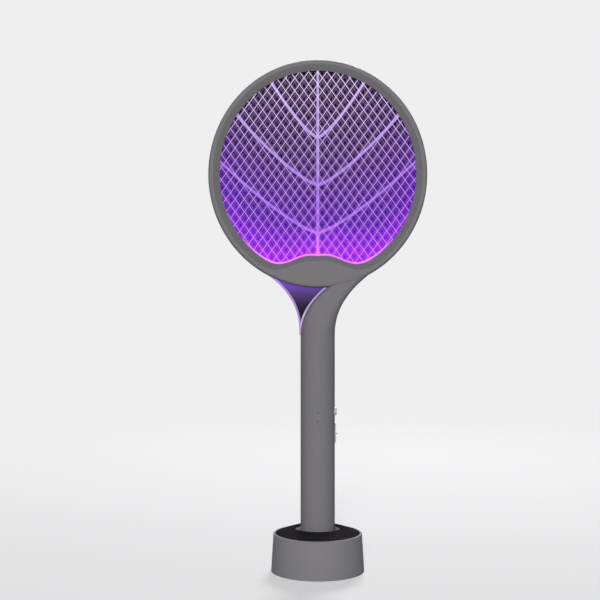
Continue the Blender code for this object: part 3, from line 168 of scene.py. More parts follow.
class Groups:
    """Shader node groups, each built once and placed in the materials that need it."""

    NUMBER = "NodeSocketFloat"
    COLOUR = "NodeSocketColor"
    STRETCH = {Pattern.DRAWN: (1.0, 1.0, 0.04)}
    NO_STRETCH = (1.0, 1.0, 1.0)
    NOISE_MIDDLE = 0.5
    FINE_DETAIL = 2.0
    BROAD_DETAIL = 3.0
    BROAD_SHARE = 0.05
    TRACE_GAP = 0.06
    RIPPLE_SCALE = 28.0

    @staticmethod
    def blank(name: str, takes: dict[str, str], gives: dict[str, str]) -> Tree:
        """Starts a group with named sockets.

        Args:
            name: The group's name.
            takes: Socket type of each input, by label.
            gives: Socket type of each output, by label.

        Returns:
            The new group, without nodes.
        """
        tree = bpy.data.node_groups.new(name, "ShaderNodeTree")
        for way, sockets in (("INPUT", takes), ("OUTPUT", gives)):
            for label, kind in sockets.items():
                tree.interface.new_socket(label, in_out=way, socket_type=kind)
        return tree

    @staticmethod
    def calculate(tree: Tree, operation: str, first: object, second: object) -> Socket:
        """Adds a Math node.

        Args:
            tree: The tree it goes in.
            operation: Blender's name of the operation.
            first: A socket or a number.
            second: A socket or a number.

        Returns:
            The node's output socket.
        """
        node = tree.nodes.new("ShaderNodeMath")
        node.operation = operation
        for index, value in enumerate((first, second)):
            if isinstance(value, (int, float)):
                node.inputs[index].default_value = value
            else:
                tree.links.new(value, node.inputs[index])
        return node.outputs[0]

    @classmethod
    def swing(cls, tree: Tree, noise: Socket, depth: Socket) -> Socket:
        """A noise as a swing round 0: what it is above its middle, times the depth."""
        above = cls.calculate(tree, "SUBTRACT", noise, cls.NOISE_MIDDLE)
        return cls.calculate(tree, "MULTIPLY", above, depth)

    @classmethod
    def surface(cls, pattern: Pattern) -> Tree:
        """A fine surface: its grain sets the height, and a broad noise shifts the colour and the gloss.

        On traces the grain shifts the colour instead.

        Args:
            pattern: Which surface.

        Returns:
            A group that takes Colour, Mottle, Scale, Roughness and Spread, and gives Colour, Roughness and
            Height.
        """
        found = bpy.data.node_groups.get(pattern.value)
        if found:
            return found
        takes = {"Colour": cls.COLOUR, "Mottle": cls.NUMBER, "Scale": cls.NUMBER}
        takes |= {"Roughness": cls.NUMBER, "Spread": cls.NUMBER}
        gives = {"Colour": cls.COLOUR, "Roughness": cls.NUMBER, "Height": cls.NUMBER}
        tree = cls.blank(pattern.value, takes, gives)
        link = tree.links.new
        given = tree.nodes.new("NodeGroupInput").outputs
        result = tree.nodes.new("NodeGroupOutput").inputs
        place = tree.nodes.new("ShaderNodeTexCoord")
        stretch = tree.nodes.new("ShaderNodeMapping")
        stretch.inputs["Scale"].default_value = cls.STRETCH.get(pattern, cls.NO_STRETCH)
        link(place.outputs["Object"], stretch.inputs["Vector"])
        fine = cls.fine_texture(tree, pattern)
        link(stretch.outputs["Vector"], fine.inputs["Vector"])
        link(given["Scale"], fine.inputs["Scale"])
        traced = pattern is Pattern.TRACES
        grain = fine.outputs["Fac"] if traced else fine.outputs[0]
        broad = tree.nodes.new("ShaderNodeTexNoise")
        broad.inputs["Detail"].default_value = cls.BROAD_DETAIL
        link(stretch.outputs["Vector"], broad.inputs["Vector"])
        link(cls.calculate(tree, "MULTIPLY", given["Scale"], cls.BROAD_SHARE), broad.inputs["Scale"])
        shift = cls.swing(tree, grain if traced else broad.outputs[0], given["Mottle"])
        tint = tree.nodes.new("ShaderNodeVectorMath")
        tint.operation = "SCALE"
        link(given["Colour"], tint.inputs[0])
        link(cls.calculate(tree, "ADD", shift, 1.0), tint.inputs["Scale"])
        link(tint.outputs[0], result["Colour"])
        gloss = cls.swing(tree, broad.outputs[0], given["Spread"])
        link(cls.calculate(tree, "ADD", gloss, given["Roughness"]), result["Roughness"])
        link(grain, result["Height"])
        return tree

    @classmethod
    def fine_texture(cls, tree: Tree, pattern: Pattern) -> bpy.types.Node:
        """The texture node that makes a pattern's grain.

        Args:
            tree: The tree it goes in.
            pattern: Which surface.

        Returns:
            The node.
        """
        if pattern is Pattern.CELLS:
            return tree.nodes.new("ShaderNodeTexVoronoi")
        if pattern is Pattern.TRACES:
            node = tree.nodes.new("ShaderNodeTexBrick")
            node.inputs["Mortar Size"].default_value = cls.TRACE_GAP
            return node
        node = tree.nodes.new("ShaderNodeTexNoise")
        node.inputs["Detail"].default_value = cls.FINE_DETAIL
        return node

    @classmethod
    def lamp_wash(cls) -> Tree:
        """How far the lamps' light reaches: a climb from 0 at the height Top to 1 at the height Foot.

        Towards the sides it gains Side times x squared, times the climb and what is left of it, so that it
        gains nothing at both heights. Ripple is the depth of a slow unevenness.

        Returns:
            A group with Foot, Top, Side and Ripple in, and Reach out.
        """
        found = bpy.data.node_groups.get("lamp_wash")
        if found:
            return found
        takes = dict.fromkeys(("Foot", "Top", "Side", "Ripple"), cls.NUMBER)
        tree = cls.blank("lamp_wash", takes, {"Reach": cls.NUMBER})
        link = tree.links.new
        given = tree.nodes.new("NodeGroupInput").outputs
        result = tree.nodes.new("NodeGroupOutput").inputs
        place = tree.nodes.new("ShaderNodeTexCoord")
        parts = tree.nodes.new("ShaderNodeSeparateXYZ")
        link(place.outputs["Object"], parts.inputs[0])
        mapped = tree.nodes.new("ShaderNodeMapRange")
        mapped.clamp = False
        link(parts.outputs["Z"], mapped.inputs["Value"])
        link(given["Top"], mapped.inputs["From Min"])
        link(given["Foot"], mapped.inputs["From Max"])
        climb = mapped.outputs["Result"]
        square = cls.calculate(tree, "MULTIPLY", parts.outputs["X"], parts.outputs["X"])
        rest = cls.calculate(tree, "SUBTRACT", 1.0, climb)
        swell = cls.calculate(tree, "MULTIPLY", climb, rest)
        gain = cls.calculate(tree, "MULTIPLY", square, swell)
        side = cls.calculate(tree, "MULTIPLY", gain, given["Side"])
        noise = tree.nodes.new("ShaderNodeTexNoise")
        noise.inputs["Scale"].default_value = cls.RIPPLE_SCALE
        link(place.outputs["Object"], noise.inputs["Vector"])
        ripple = cls.swing(tree, noise.outputs[0], given["Ripple"])
        reach = cls.calculate(tree, "ADD", climb, side)
        link(cls.calculate(tree, "ADD", reach, ripple), result["Reach"])
        return tree


@dataclass(frozen=True)
class Finish:
    """A finish that is seen by the light that falls on it: colour, gloss and a fine surface.

    Attributes:
        name: The material's name.
        colour: Display colour, 0 to 255.
        roughness: Middle roughness.
        metallic: 1 for bare metal.
        pattern: The fine surface.
        scale: Grains per metre.
        mottle: Share by which the colour shifts.
        spread: Amount by which the roughness shifts.
        relief: Height of the grain, in metres.
        coat: Weight of a clear coat.
        specular: Specular level.
    """

    name: str
    colour: Colour
    roughness: float
    metallic: float = 0.0
    pattern: Pattern = Pattern.MOULDED
    scale: float = 1100.0
    mottle: float = 0.10
    spread: float = 0.14
    relief: float = 0.00004
    coat: float = 0.0
    specular: float = 0.35

    def material(self) -> bpy.types.Material:
        """The finish as a material, made once."""
        label = "finish_" + self.name
        return bpy.data.materials.get(label) or self.make(label)

    def make(self, label: str) -> bpy.types.Material:
        """Builds the material.

        Args:
            label: Its name.

        Returns:
            The material, with its nodes.
        """
        made = bpy.data.materials.new(label)
        made.use_nodes = True
        tree = made.node_tree
        link = tree.links.new
        shader = tree.nodes["Principled BSDF"]
        set_inputs(shader, {
            "Metallic": self.metallic,
            "Coat Weight": self.coat,
            "Specular IOR Level": self.specular,
        })
        group = tree.nodes.new("ShaderNodeGroup")
        group.node_tree = Groups.surface(self.pattern)
        set_inputs(group, {
            "Colour": (*linear(self.colour), 1.0),
            "Mottle": self.mottle,
            "Scale": self.scale,
            "Roughness": self.roughness,
            "Spread": self.spread,
        })
        bump = tree.nodes.new("ShaderNodeBump")
        bump.inputs["Distance"].default_value = self.relief
        link(group.outputs["Colour"], shader.inputs["Base Color"])
        link(group.outputs["Roughness"], shader.inputs["Roughness"])
        link(group.outputs["Height"], bump.inputs["Height"])
        link(bump.outputs["Normal"], shader.inputs["Normal"])
        return made


@dataclass(frozen=True)
class LitFinish(Finish):
    """A finish that the lamps light: its glow runs through colour stops from the top to the foot.

    Attributes:
        stops: Place from 0 to 1 and display colour of each stop.
        strength: Emission strength.
        foot: Height where the glow's last stop lies.
        top: Height where its first stop lies.
        side: Gain towards the sides half way up, as four times the share per square metre.
        ripple: Depth of the unevenness.
    """

    stops: tuple[Stop, ...] = ((0.0, (255, 255, 255)), (1.0, (255, 255, 255)))
    strength: float = 1.0
    foot: float = 0.2971
    top: float = 0.4614
    side: float = 110.0
    ripple: float = 0.10

    def make(self, label: str) -> bpy.types.Material:
        """Builds the material and adds its glow.

        Args:
            label: Its name.

        Returns:
            The material, with its nodes.
        """
        made = super().make(label)
        tree = made.node_tree
        shader = tree.nodes["Principled BSDF"]
        wash = tree.nodes.new("ShaderNodeGroup")
        wash.node_tree = Groups.lamp_wash()
        set_inputs(wash, {"Foot": self.foot, "Top": self.top, "Side": self.side, "Ripple": self.ripple})
        ramp = tree.nodes.new("ShaderNodeValToRGB")
        elements = ramp.color_ramp.elements
        while len(elements) < len(self.stops):
            elements.new(1.0)
        for element, (place, colour) in zip(elements, self.stops):
            element.position = place
            element.color = (*linear(colour), 1.0)
        tree.links.new(wash.outputs["Reach"], ramp.inputs["Fac"])
        tree.links.new(ramp.outputs["Color"], shader.inputs["Emission Color"])
        shader.inputs["Emission Strength"].default_value = self.strength
        return made


GREY = Finish("grey_satin", (126, 124, 127), 0.62, specular=0.04)
# Painted shade: a darker copy of the grey for the ring's dished band.
GREY_PAINTED_DISH_SHADE = Finish("grey_satin_painted_dish_shade", (112, 110, 113), 0.64, specular=0.04)
GREY_STAND = Finish("grey_satin_stand", (134, 132, 135), 0.62, specular=0.04)
# Dark plastic for the foot cap and kept parts, and painted shade on the stand's top and the socket's lip.
DARK = Finish("dark_satin_and_painted_shade", (42, 40, 45), 0.66, scale=1300.0, specular=0.0)
PALE = Finish("pale_satin", (196, 194, 198), 0.35, relief=0.00002, coat=0.2)
STRAND = LitFinish(
    "lit_guard_wire", (58, 52, 64), 0.45, pattern=Pattern.DRAWN, scale=4000.0, specular=0.2,
    stops=(
        (0.0, (240, 218, 250)), (0.45, (206, 170, 228)), (0.85, (202, 132, 238)), (1.0, (248, 124, 254)),
    ),
)
RIB = LitFinish(
    "lit_leaf_rib", (78, 70, 90), 0.5, specular=0.2,
    stops=(
        (0.0, (174, 154, 210)), (0.42, (164, 136, 212)), (0.65, (140, 102, 204)),
        (0.85, (148, 86, 218)), (1.0, (228, 102, 248)),
    ),
)
FINE_LINE = LitFinish(
    "lit_fine_wire", (30, 25, 36), 0.5, pattern=Pattern.DRAWN, scale=4000.0, specular=0.1,
    stops=(
        (0.0, (126, 102, 144)), (0.5, (120, 80, 164)), (0.85, (120, 58, 198)), (1.0, (184, 56, 236)),
    ),
)
FILL = LitFinish(
    "lit_mesh", (12, 8, 18), 0.6, pattern=Pattern.DRAWN, scale=4000.0, specular=0.05,
    stops=(
        (0.0, (18, 7, 26)), (0.42, (32, 11, 56)), (0.65, (54, 15, 104)),
        (0.85, (71, 20, 148)), (0.95, (100, 24, 206)), (1.0, (140, 28, 225)),
    ),
)
GLOW = LitFinish(
    "lit_edge", (80, 40, 80), 0.4, stops=((0.0, (206, 118, 242)), (1.0, (240, 122, 240))),
    foot=0.2850, top=0.3150, side=0.0, ripple=0.2,
)
GUIDE = LitFinish(
    "lit_guide", (70, 62, 78), 0.5,
    stops=((0.0, (168, 146, 196)), (0.45, (160, 126, 198)), (1.0, (180, 134, 226))),
    foot=0.2720, top=0.2200, side=0.0, ripple=0.2, specular=0.06,
)
GUIDE_PALE = LitFinish(
    "lit_guide_pale", (70, 62, 78), 0.5,
    stops=(
        (0.0, (172, 146, 194)), (0.2, (186, 160, 216)), (0.33, (194, 190, 210)), (0.55, (182, 160, 206)),
        (1.0, (168, 147, 202)),
    ),
    foot=0.2720, top=0.2200, side=0.0, ripple=0.1, specular=0.06,
)
PANE = LitFinish(
    "lit_pane", (20, 16, 26), 0.5, relief=0.00001, specular=0.05,
    stops=(
        (0.0, (20, 6, 25)), (0.25, (22, 8, 28)), (0.4, (38, 22, 47)), (0.7, (76, 54, 110)),
        (1.0, (110, 72, 184)),
    ),
    foot=0.2680, top=0.2330, side=0.0, ripple=0.06,
)
CAD_FINISHES: dict[Slot, Finish] = {
    Slot.GREY: GREY,
    Slot.DARK: DARK,
    Slot.PALE: PALE,
    Slot.LILAC: RIB,
    Slot.WINDOW: PANE,
    Slot.GUIDE: Finish("clear_pipe", (88, 85, 90), 0.4, coat=0.2),
    Slot.NET: STRAND,
    Slot.BOARD: Finish("board_mask", (16, 74, 40), 0.4, pattern=Pattern.TRACES, scale=120.0, mottle=0.7),
    Slot.LAMP: LitFinish(
        "lamp", (150, 120, 200), 0.2, stops=((0.0, (170, 90, 255)), (1.0, (196, 120, 255))), strength=1.5
    ),
    Slot.BRASS: Finish("plated_brass", (214, 176, 92), 0.28, 1.0, Pattern.DRAWN, 2600.0),
    Slot.STEEL: Finish("zinc_steel", (168, 168, 170), 0.36, 1.0, Pattern.DRAWN, 2600.0),
    Slot.RUBBER: Finish("matt_rubber", (30, 30, 31), 0.8, pattern=Pattern.CELLS, scale=1600.0),
    Slot.BATTERY: Finish("cell_wrap", (40, 92, 160), 0.35, coat=0.4),
    Slot.FOAM: Finish("foam", (34, 34, 35), 0.95, pattern=Pattern.CELLS, scale=900.0, relief=0.0002),
    Slot.RED_LEAD: Finish("red_lead", (164, 34, 32), 0.4),
    Slot.BLACK_LEAD: Finish("black_lead", (28, 28, 29), 0.4),
    Slot.COMPONENT: Finish("moulded_case", (40, 40, 43), 0.5),
}


def quads(rows: int, columns: int, wrap: bool) -> Array:
    """Faces between loops: each joins a point to the next on its loop and to the same two on the next loop.

    Args:
        rows: Number of loops.
        columns: Points on each loop.
        wrap: Whether the last loop joins the first.

    Returns:
        Four point numbers for each face.
    """
    row, column = np.meshgrid(np.arange(rows if wrap else rows - 1), np.arange(columns), indexing="ij")
    here = row * columns
    above = (row + 1) % rows * columns
    beside = (column + 1) % columns
    corners = [here + column, here + beside, above + beside, above + column]
    return np.stack(corners, axis=-1).reshape(-1, 4)


class Shape:
    """Points and faces gathered from grids, for one mesh."""

    def __init__(self) -> None:
        """Starts empty."""
        self.points: list[Array] = []
        self.faces: list[Array] = []
        self.marks: list[Array] = []
        self.count = 0

    def keep(self, points: Array, faces: Sequence[Array], mark: Mark) -> None:
        """Adds points and the faces on them.

        Args:
            points: Points, in any grid of triples.
            faces: Arrays of faces, numbered from 0, one array for each number of corners.
            mark: The finish's place among the piece's finishes, or one for each place on a loop.
        """
        for array in faces:
            self.faces.append(array + self.count)
            self.marks.append(np.resize(np.asarray(mark, np.int32), len(array)))
        flat = points.reshape(-1, 3)
        self.points.append(flat)
        self.count += len(flat)

    def tubes(self, loops: Array, wrap: bool = False, mark: Mark = 0) -> "Shape":
        """Adds closed skins: each is a row of loops joined in order.

        The ends are capped, or the last loop is joined to the first.

        Args:
            loops: Points by tube, loop and place on the loop.
            wrap: Whether the last loop joins the first.
            mark: The finish's place among the piece's finishes, or one for each place on a loop.

        Returns:
            The shape itself.
        """
        count, rows, columns, _ = loops.shape
        first = (np.arange(count) * rows * columns)[:, None, None]
        faces = [(quads(rows, columns, wrap)[None] + first).reshape(-1, 4)]
        if not wrap:
            ring = np.arange(columns)
            ends = np.stack([ring, ring + (rows - 1) * columns])
            faces.append((ends[None] + first).reshape(-1, columns))
        self.keep(loops, faces, mark)
        return self

    def trough(self, loops: Array) -> "Shape":
        """Adds one closed skin whose loops go out along an arc and come back along an inner one.

        The ends are closed by quads between the two arcs, so that a half tube keeps clean ends.

        Args:
            loops: Points by loop and place on the loop, an even number on each.

        Returns:
            The shape itself.
        """
        rows, columns, _ = loops.shape
        step = np.arange(columns // 2 - 1)
        end = np.stack([step, step + 1, columns - 2 - step, columns - 1 - step], axis=-1)
        self.keep(loops, [quads(rows, columns, False), end, end + (rows - 1) * columns], mark=0)
        return self

    def mesh(self, name: str) -> bpy.types.Mesh:
        """Puts the arrays into a mesh with its faces pointing out.

        Args:
            name: The mesh's name.

        Returns:
            The mesh, smooth except at sharp edges.
        """
        made = bpy.data.meshes.new(name)
        points = np.concatenate(self.points)
        corners = np.concatenate([array.ravel() for array in self.faces])
        totals = np.concatenate([np.full(len(array), array.shape[1]) for array in self.faces])
        made.vertices.add(len(points))
        made.vertices.foreach_set("co", points.astype(np.float32).ravel())
        made.loops.add(len(corners))
        made.loops.foreach_set("vertex_index", corners.astype(np.int32))
        made.polygons.add(len(totals))
        starts = np.concatenate([[0], np.cumsum(totals)[:-1]])
        made.polygons.foreach_set("loop_start", starts.astype(np.int32))
        made.polygons.foreach_set("material_index", np.concatenate(self.marks))
        made.update(calc_edges=True)
        made.validate()
        face_outwards(made)
        shade(made)
        return made


def face_outwards(mesh: bpy.types.Mesh) -> None:
    """Turns a closed mesh's faces outwards.

    Args:
        mesh: The mesh.
    """
    work = bmesh.new()
    work.from_mesh(mesh)
    bmesh.ops.recalc_face_normals(work, faces=work.faces)
    work.to_mesh(mesh)
    work.free()


def shade(mesh: bpy.types.Mesh) -> None:
    """Shades a mesh smooth except at sharp edges."""
    mesh.shade_smooth()
    mesh.set_sharp_from_angle(angle=SMOOTH_ANGLE)


def show(
    name: str, shape: Shape, finishes: Sequence[Finish], body: Body, nodes: Sequence[str]
) -> bpy.types.Object:
    """Makes a piece of a shape, on its body and in place of the nodes that it stands for.

    Args:
        name: The piece's name.
        shape: Its points and faces.
        finishes: Its finishes, in the order of the shape's marks.
        body: The body that it rides on.
        nodes: The nodes that it replaces.

    Returns:
        The piece.
    """
    mesh = shape.mesh(name)
    for finish in finishes:
        mesh.materials.append(finish.material())
    piece = new_object(name, mesh)
    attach(piece, body.value)
    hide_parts(*nodes)
    LOG.info("%s: %d faces, rides on %s", name, len(mesh.polygons), body.value)
    return piece


def cut(piece: bpy.types.Object, tools: Sequence[Shape]) -> None:
    """Cuts closed shapes out of a piece and keeps the result as its mesh.

    Args:
        piece: The piece.
        tools: The shapes to take away.
    """
    helpers = []
    for index, tool in enumerate(tools):
        helper = new_object(f"{piece.name}_tool_{index}", tool.mesh("tool"))
        modifier = piece.modifiers.new(helper.name, "BOOLEAN")
        modifier.operation = "DIFFERENCE"
        modifier.solver = "EXACT"
        modifier.object = helper
        helpers.append(helper)
    graph = bpy.context.evaluated_depsgraph_get()
    result = bpy.data.meshes.new_from_object(piece.evaluated_get(graph), depsgraph=graph)
    piece.modifiers.clear()
    old = piece.data
    piece.data = result
    shade(result)
    bpy.data.meshes.remove(old)
    for helper in helpers:
        bpy.data.objects.remove(helper)


def towards(corner: Array, other: Array, distance: float) -> Array:
    """Points on the way from corners to others, at a distance but less than half way along.

    Args:
        corner: The corners.
        other: The points that they look towards.
        distance: How far each point lies from its corner.

    Returns:
        The points.
    """
    most, least_length = 0.45, 1e-9
    way = other - corner
    length = np.maximum(np.linalg.norm(way, axis=-1, keepdims=True), least_length)
    return corner + way * np.minimum(distance / length, most)


def rounded(outline: Array, radius: float) -> Array:
    """Rounds the corners of closed outlines.

    Each corner gets a neighbour on either side, at the radius or less than half way along, and the sides
    are then replaced by the points a quarter and three quarters along them.

    Args:
        outline: Points by outline and place on it, as pairs.
        radius: Distance from the corner at which the rounding starts.

    Returns:
        The rounded outlines, with six points for each corner.
    """
    major, minor = 0.75, 0.25
    before = towards(outline, np.roll(outline, 1, axis=-2), radius)
    after = towards(outline, np.roll(outline, -1, axis=-2), radius)
    lead = outline.shape[:-2]
    dense = np.stack([before, outline, after], axis=-2).reshape(*lead, -1, 2)
    following = np.roll(dense, -1, axis=-2)
    pair = np.stack([dense * major + following * minor, dense * minor + following * major], axis=-2)
    return pair.reshape(*lead, -1, 2)


def marked(corners: int, first: int, last: int) -> Array:
    """Marks for the places of a rounded outline: 1 from one corner to another, 0 elsewhere.

    Args:
        corners: Number of corners before rounding.
        first: The corner where the mark 1 starts.
        last: The corner where it ends.

    Returns:
        One mark for each place.
    """
    points_each, past_corner = 6, 2
    place = np.arange(corners * points_each)
    start, end = first * points_each + past_corner, last * points_each + past_corner
    return ((place >= start) & (place < end)).astype(np.int32)


def squircle(count: int, power: float) -> tuple[Array, Array]:
    """A rounded square of half size 1: the cosine and sine of each turn, raised to 2 over the power.

    Args:
        count: Number of points.
        power: 2 for a circle, more for squarer.

    Returns:
        The points' two coordinates.
    """
    turn = 2 * np.pi * (np.arange(count) + 0.5) / count
    c, s = np.cos(turn), np.sin(turn)
    return np.sign(c) * np.abs(c) ** (2 / power), np.sign(s) * np.abs(s) ** (2 / power)


def turned(profile: Array, steps: int) -> Array:
    """Carries a closed outline of radius and height round the Z axis.

    Args:
        profile: Pairs of radius and height.
        steps: Number of places round the axis.

    Returns:
        One tube of loops, to be wrapped.
    """
    turn = 2 * np.pi * np.arange(steps) / steps
    radius, height = profile[:, 0], profile[:, 1]
    x = np.cos(turn)[:, None] * radius
    y = np.sin(turn)[:, None] * radius
    return np.stack([x, y, np.broadcast_to(height, x.shape)], axis=-1)[None]


def rod(start: Sequence[float], end: Sequence[float], radius: float, steps: int = 32) -> Array:
    """A plain round rod along an axis: two circles.

    Args:
        start: Centre of the first end.
        end: Centre of the second, apart from the first along one axis.
        radius: Its radius.
        steps: Points on each circle.

    Returns:
        One tube of two loops.
    """
    start, end = np.asarray(start, float), np.asarray(end, float)
    axis = int(np.argmax(np.abs(end - start)))
    first, second = np.eye(3)[(axis + 1) % 3], np.eye(3)[(axis + 2) % 3]
    turn = 2 * np.pi * np.arange(steps)[:, None] / steps
    ring = radius * (np.cos(turn) * first + np.sin(turn) * second)
    return np.stack([start + ring, end + ring])[None]


def upright_rods(spacing: float, low: float, high: float, radius: float) -> list[Shape]:
    """Two upright rods, left and right of the axis.

    Args:
        spacing: Distance between them.
        low: Height of their lower ends.
        high: Height of their upper ends.
        radius: Their radius.

    Returns:
        One shape for each.
    """
    places = [hand * spacing / 2 for hand in HANDS]
    return [Shape().tubes(rod((x, 0, low), (x, 0, high), radius)) for x in places]


def ribbon(path: Array, width: Array, low: float, high: float) -> Array:
    """A flat bar with soft edges along a path in X and Z.

    The section is a rounded square, as wide as given across the path and from low to high along Y.

    Args:
        path: Pairs of x and z.
        width: Width at each of them.
        low: Lowest y.
        high: Highest y.

    Returns:
        One tube of loops.
    """
    heading = np.gradient(path, axis=0)
    heading /= np.linalg.norm(heading, axis=1, keepdims=True)
    across = np.stack([-heading[:, 1], heading[:, 0]], axis=-1)
    c, s = squircle(count=14, power=3.2)
    plan = path[:, None] + across[:, None] * (width[:, None] / 2 * c)[..., None]
    depth = np.broadcast_to((low + high) / 2 + (high - low) / 2 * s, plan.shape[:2])
    return np.stack([plan[..., 0], depth, plan[..., 1]], axis=-1)[None]


def band(left: Array, right: Array, half_depth: float) -> Array:
    """A strip between two edges in X and Z, with soft edges front and rear.

    A place across the strip is the two edges mixed by a rounded square's first coordinate, and its depth is
    the second one.

    Args:
        left: Pairs of x and z.
        right: As many pairs.
        half_depth: Half its depth along Y.

    Returns:
        One tube of loops.
    """
    c, s = squircle(count=18, power=5.0)
    share = ((1 + c) / 2)[None, :, None]
    plan = left[:, None] * (1 - share) + right[:, None] * share
    depth = np.broadcast_to(half_depth * s, plan.shape[:2])
    return np.stack([plan[..., 0], depth, plan[..., 1]], axis=-1)[None]


@dataclass(frozen=True)
class Weave:
    """Straight strands in two crossing families.

    Attributes:
        cell_width: Width of a diamond cell.
        cell_height: Its height.
        width: Width of a strand.
        thickness: Its thickness along Y.
        middle: The net's y.
        stagger: How far each family lies from the middle.
        offsets: Places of the strands beside each whole cell number, as shares of a cell.
    """

    cell_width: float
    cell_height: float
    width: float
    thickness: float
    middle: float
    stagger: float
    offsets: tuple[float, ...] = (0.0,)


@dataclass
class Head:
    """The oval head: ring halves, nets, leaf ribs and lit edges.

    The outer edge of the front land is an ellipse. A place on the head is a turn, which is 0 straight down,
    and a reach, the distance outside that ellipse.
    """

    centre: float
    # The outline and the ring's section.
    half_width: float = 0.1000
    half_height: float = 0.1040
    half_depth: float = 0.0120
    bulge: float = 0.0017
    frame_width: float = 0.0090
    land_width: float = 0.0028
    land_round: float = 0.0030
    dish_depth: float = 0.0015
    dish_bow: float = 0.42
    bevel_saving: float = 0.0014
    flange: float = 0.0025
    wall: float = 0.0024
    corner: float = 0.0005
    steps: int = 288
    # How far the window and the neck run into the ring.
    window_sink: float = 0.0006
    neck_sink: float = 0.0015
    # The crescent at the foot.
    crescent_rise: float = 0.0186
    crescent_spread: float = math.radians(20.1)
    crescent_power: float = 3.3
    # The nets.
    net_thickness: float = 0.0010
    hoop_cover: float = 0.0008
    hoop_width: float = 0.0042
    cell_width: float = 0.0085
    cell_height: float = 0.0118
    wire_width: float = 0.00058
    wire_thickness: float = 0.00054
    wire_stagger: float = 0.00021
    line_width: float = 0.00036
    line_thickness: float = 0.00090
    line_places: tuple[float, ...] = (-0.26, -0.13, 0.13, 0.26)
    fill_division: int = 8
    fill_cover: float = 0.97
    fill_thickness: float = 0.00030
    fill_stagger: float = 0.00008
    strand_overreach: float = 1.1
    strand_least: float = 2.0
    strand_samples: int = 1400
    strand_sides: int = 8
    edge_samples: int = 1441
    # The leaf ribs.
    rib_width: float = 0.0028
    rib_depth: float = 0.0024
    rib_setback: float = 0.0002
    stem_steps: int = 60
    stem_taper: tuple[float, float] = (1.1, 0.8)
    vein_steps: int = 48
    vein_pairs: int = 3
    vein_start: float = 0.14
    vein_spacing: float = 0.25
    vein_end_degrees: float = 98.0
    vein_step_degrees: float = 27.0
    vein_power: float = 1.3
    vein_taper: float = 0.12
    # The lit edges.
    glow_span: float = math.radians(50)
    glow_fade: float = math.radians(22)
    glow_width: float = 0.0018
    glow_least: float = 0.25
    glow_steps: int = 180

    @property
    def outside(self) -> float:
        """Reach of the line that the neck's edges are drawn to, just outside the ring."""
        return self.bulge + FIT

    @property
    def sunk(self) -> float:
        """Reach at which the window and its light guide end, a little way into the ring's wall."""
        return self.bulge - self.window_sink

    @property
    def buried(self) -> float:
        """Reach at which the neck ends, under the rounding of the ring's land."""
        return self.bulge - self.neck_sink

    @property
    def guard_outer(self) -> float:
        """Outer face of a guard net, as a distance from the middle."""
        return self.half_depth - self.flange - FIT

    @property
    def into_hoop(self) -> float:
        """How far outside the opening's edge strands and ribs end, in the middle of a hoop."""
        return self.hoop_cover + self.hoop_width / 2

    def place(self, turn: Array, reach: Array, depth: Array) -> Array:
        """Points on the head: x is the half width and reach times the turn's sine, z falls with its cosine.

        Args:
            turn: Turns from straight down.
            reach: Distances outside the land's ellipse.
            depth: Values of y.

        Returns:
            The points.
        """
        turn, reach, depth = np.broadcast_arrays(turn, reach, depth)
        x = (self.half_width + reach) * np.sin(turn)
        z = self.centre - (self.half_height + reach) * np.cos(turn)
        return np.stack([x, depth, z], axis=-1)

    def wave(self, turn: Array) -> Array:
        """The crescent's rise from 0 to 1: a flat-topped bell of the turn."""
        return np.exp(-((np.abs(turn) / self.crescent_spread) ** self.crescent_power))

    def opening(self, turn: Array) -> Array:
        """Reach of the opening's edge, which the crescent lifts at the foot."""
        return -self.frame_width - self.crescent_rise * self.wave(turn)

    def turns(self) -> Array:
        """Even turns all the way round."""
        return np.linspace(-np.pi, np.pi, self.steps, endpoint=False)

    def ring_height(self, x: Array) -> Array:
        """Height at which the window ends at an x: the lower half of an ellipse."""
        share = np.clip(x / (self.half_width + self.sunk), -1, 1)
        return self.centre - (self.half_height + self.sunk) * np.sqrt(1 - share**2)

    def within(self, x: Array, z: Array, reach: float) -> Array:
        """Whether points lie inside an ellipse: the squared shares of its half sizes add up to less than 1.

        Args:
            x: Values of x.
            z: Values of z.
            reach: The ellipse's reach.

        Returns:
            True where a point lies inside.
        """
        across = x / (self.half_width + reach)
        up = (z - self.centre) / (self.half_height + reach)
        return across**2 + up**2 < 1

    @staticmethod
    def sections(turn: Array, corners: Sequence[tuple[Array, float]], radius: float) -> Array:
        """Rounded sections, one at each turn.

        Args:
            turn: The turns.
            corners: Reach and depth of each corner, as one number or one for each turn.
            radius: Rounding of the corners.

        Returns:
            Reach and depth, each by turn and place on the section.
        """
        still = 0 * turn
        points = np.stack([np.stack([reach + still, depth + still], -1) for reach, depth in corners], 1)
        return np.moveaxis(rounded(points, radius), -1, 0)

    def ring(self, side: Side) -> None:
        """One half of the split ring: dished inner band, rounded land, side wall and inner flange.

        The section's corners follow the opening's edge at each turn and are rounded.

        Args:
            side: Which half.
        """
        turn = self.turns()
        edge = self.opening(turn)
        front = self.half_depth
        dish = self.frame_width - self.land_width - FIT - self.bevel_saving * self.wave(turn)
        inside = self.bulge - self.wall
        corners = [
            (edge, front - self.dish_depth),
            (edge + dish / 2, front - self.dish_depth * self.dish_bow),
            (edge + dish, front - FIT / 3),
            (-self.land_width, front),
            (-self.land_width / 3, front - self.land_round / 16),
            (self.bulge / 4, front - self.land_round / 4),
            (self.bulge * 3 / 4, front - self.land_round),
            (self.bulge, front - self.land_round * 2),
            (self.bulge, 0.0),
            (inside, 0.0),
            (inside, front - self.flange),
            (edge, front - self.flange),
        ]
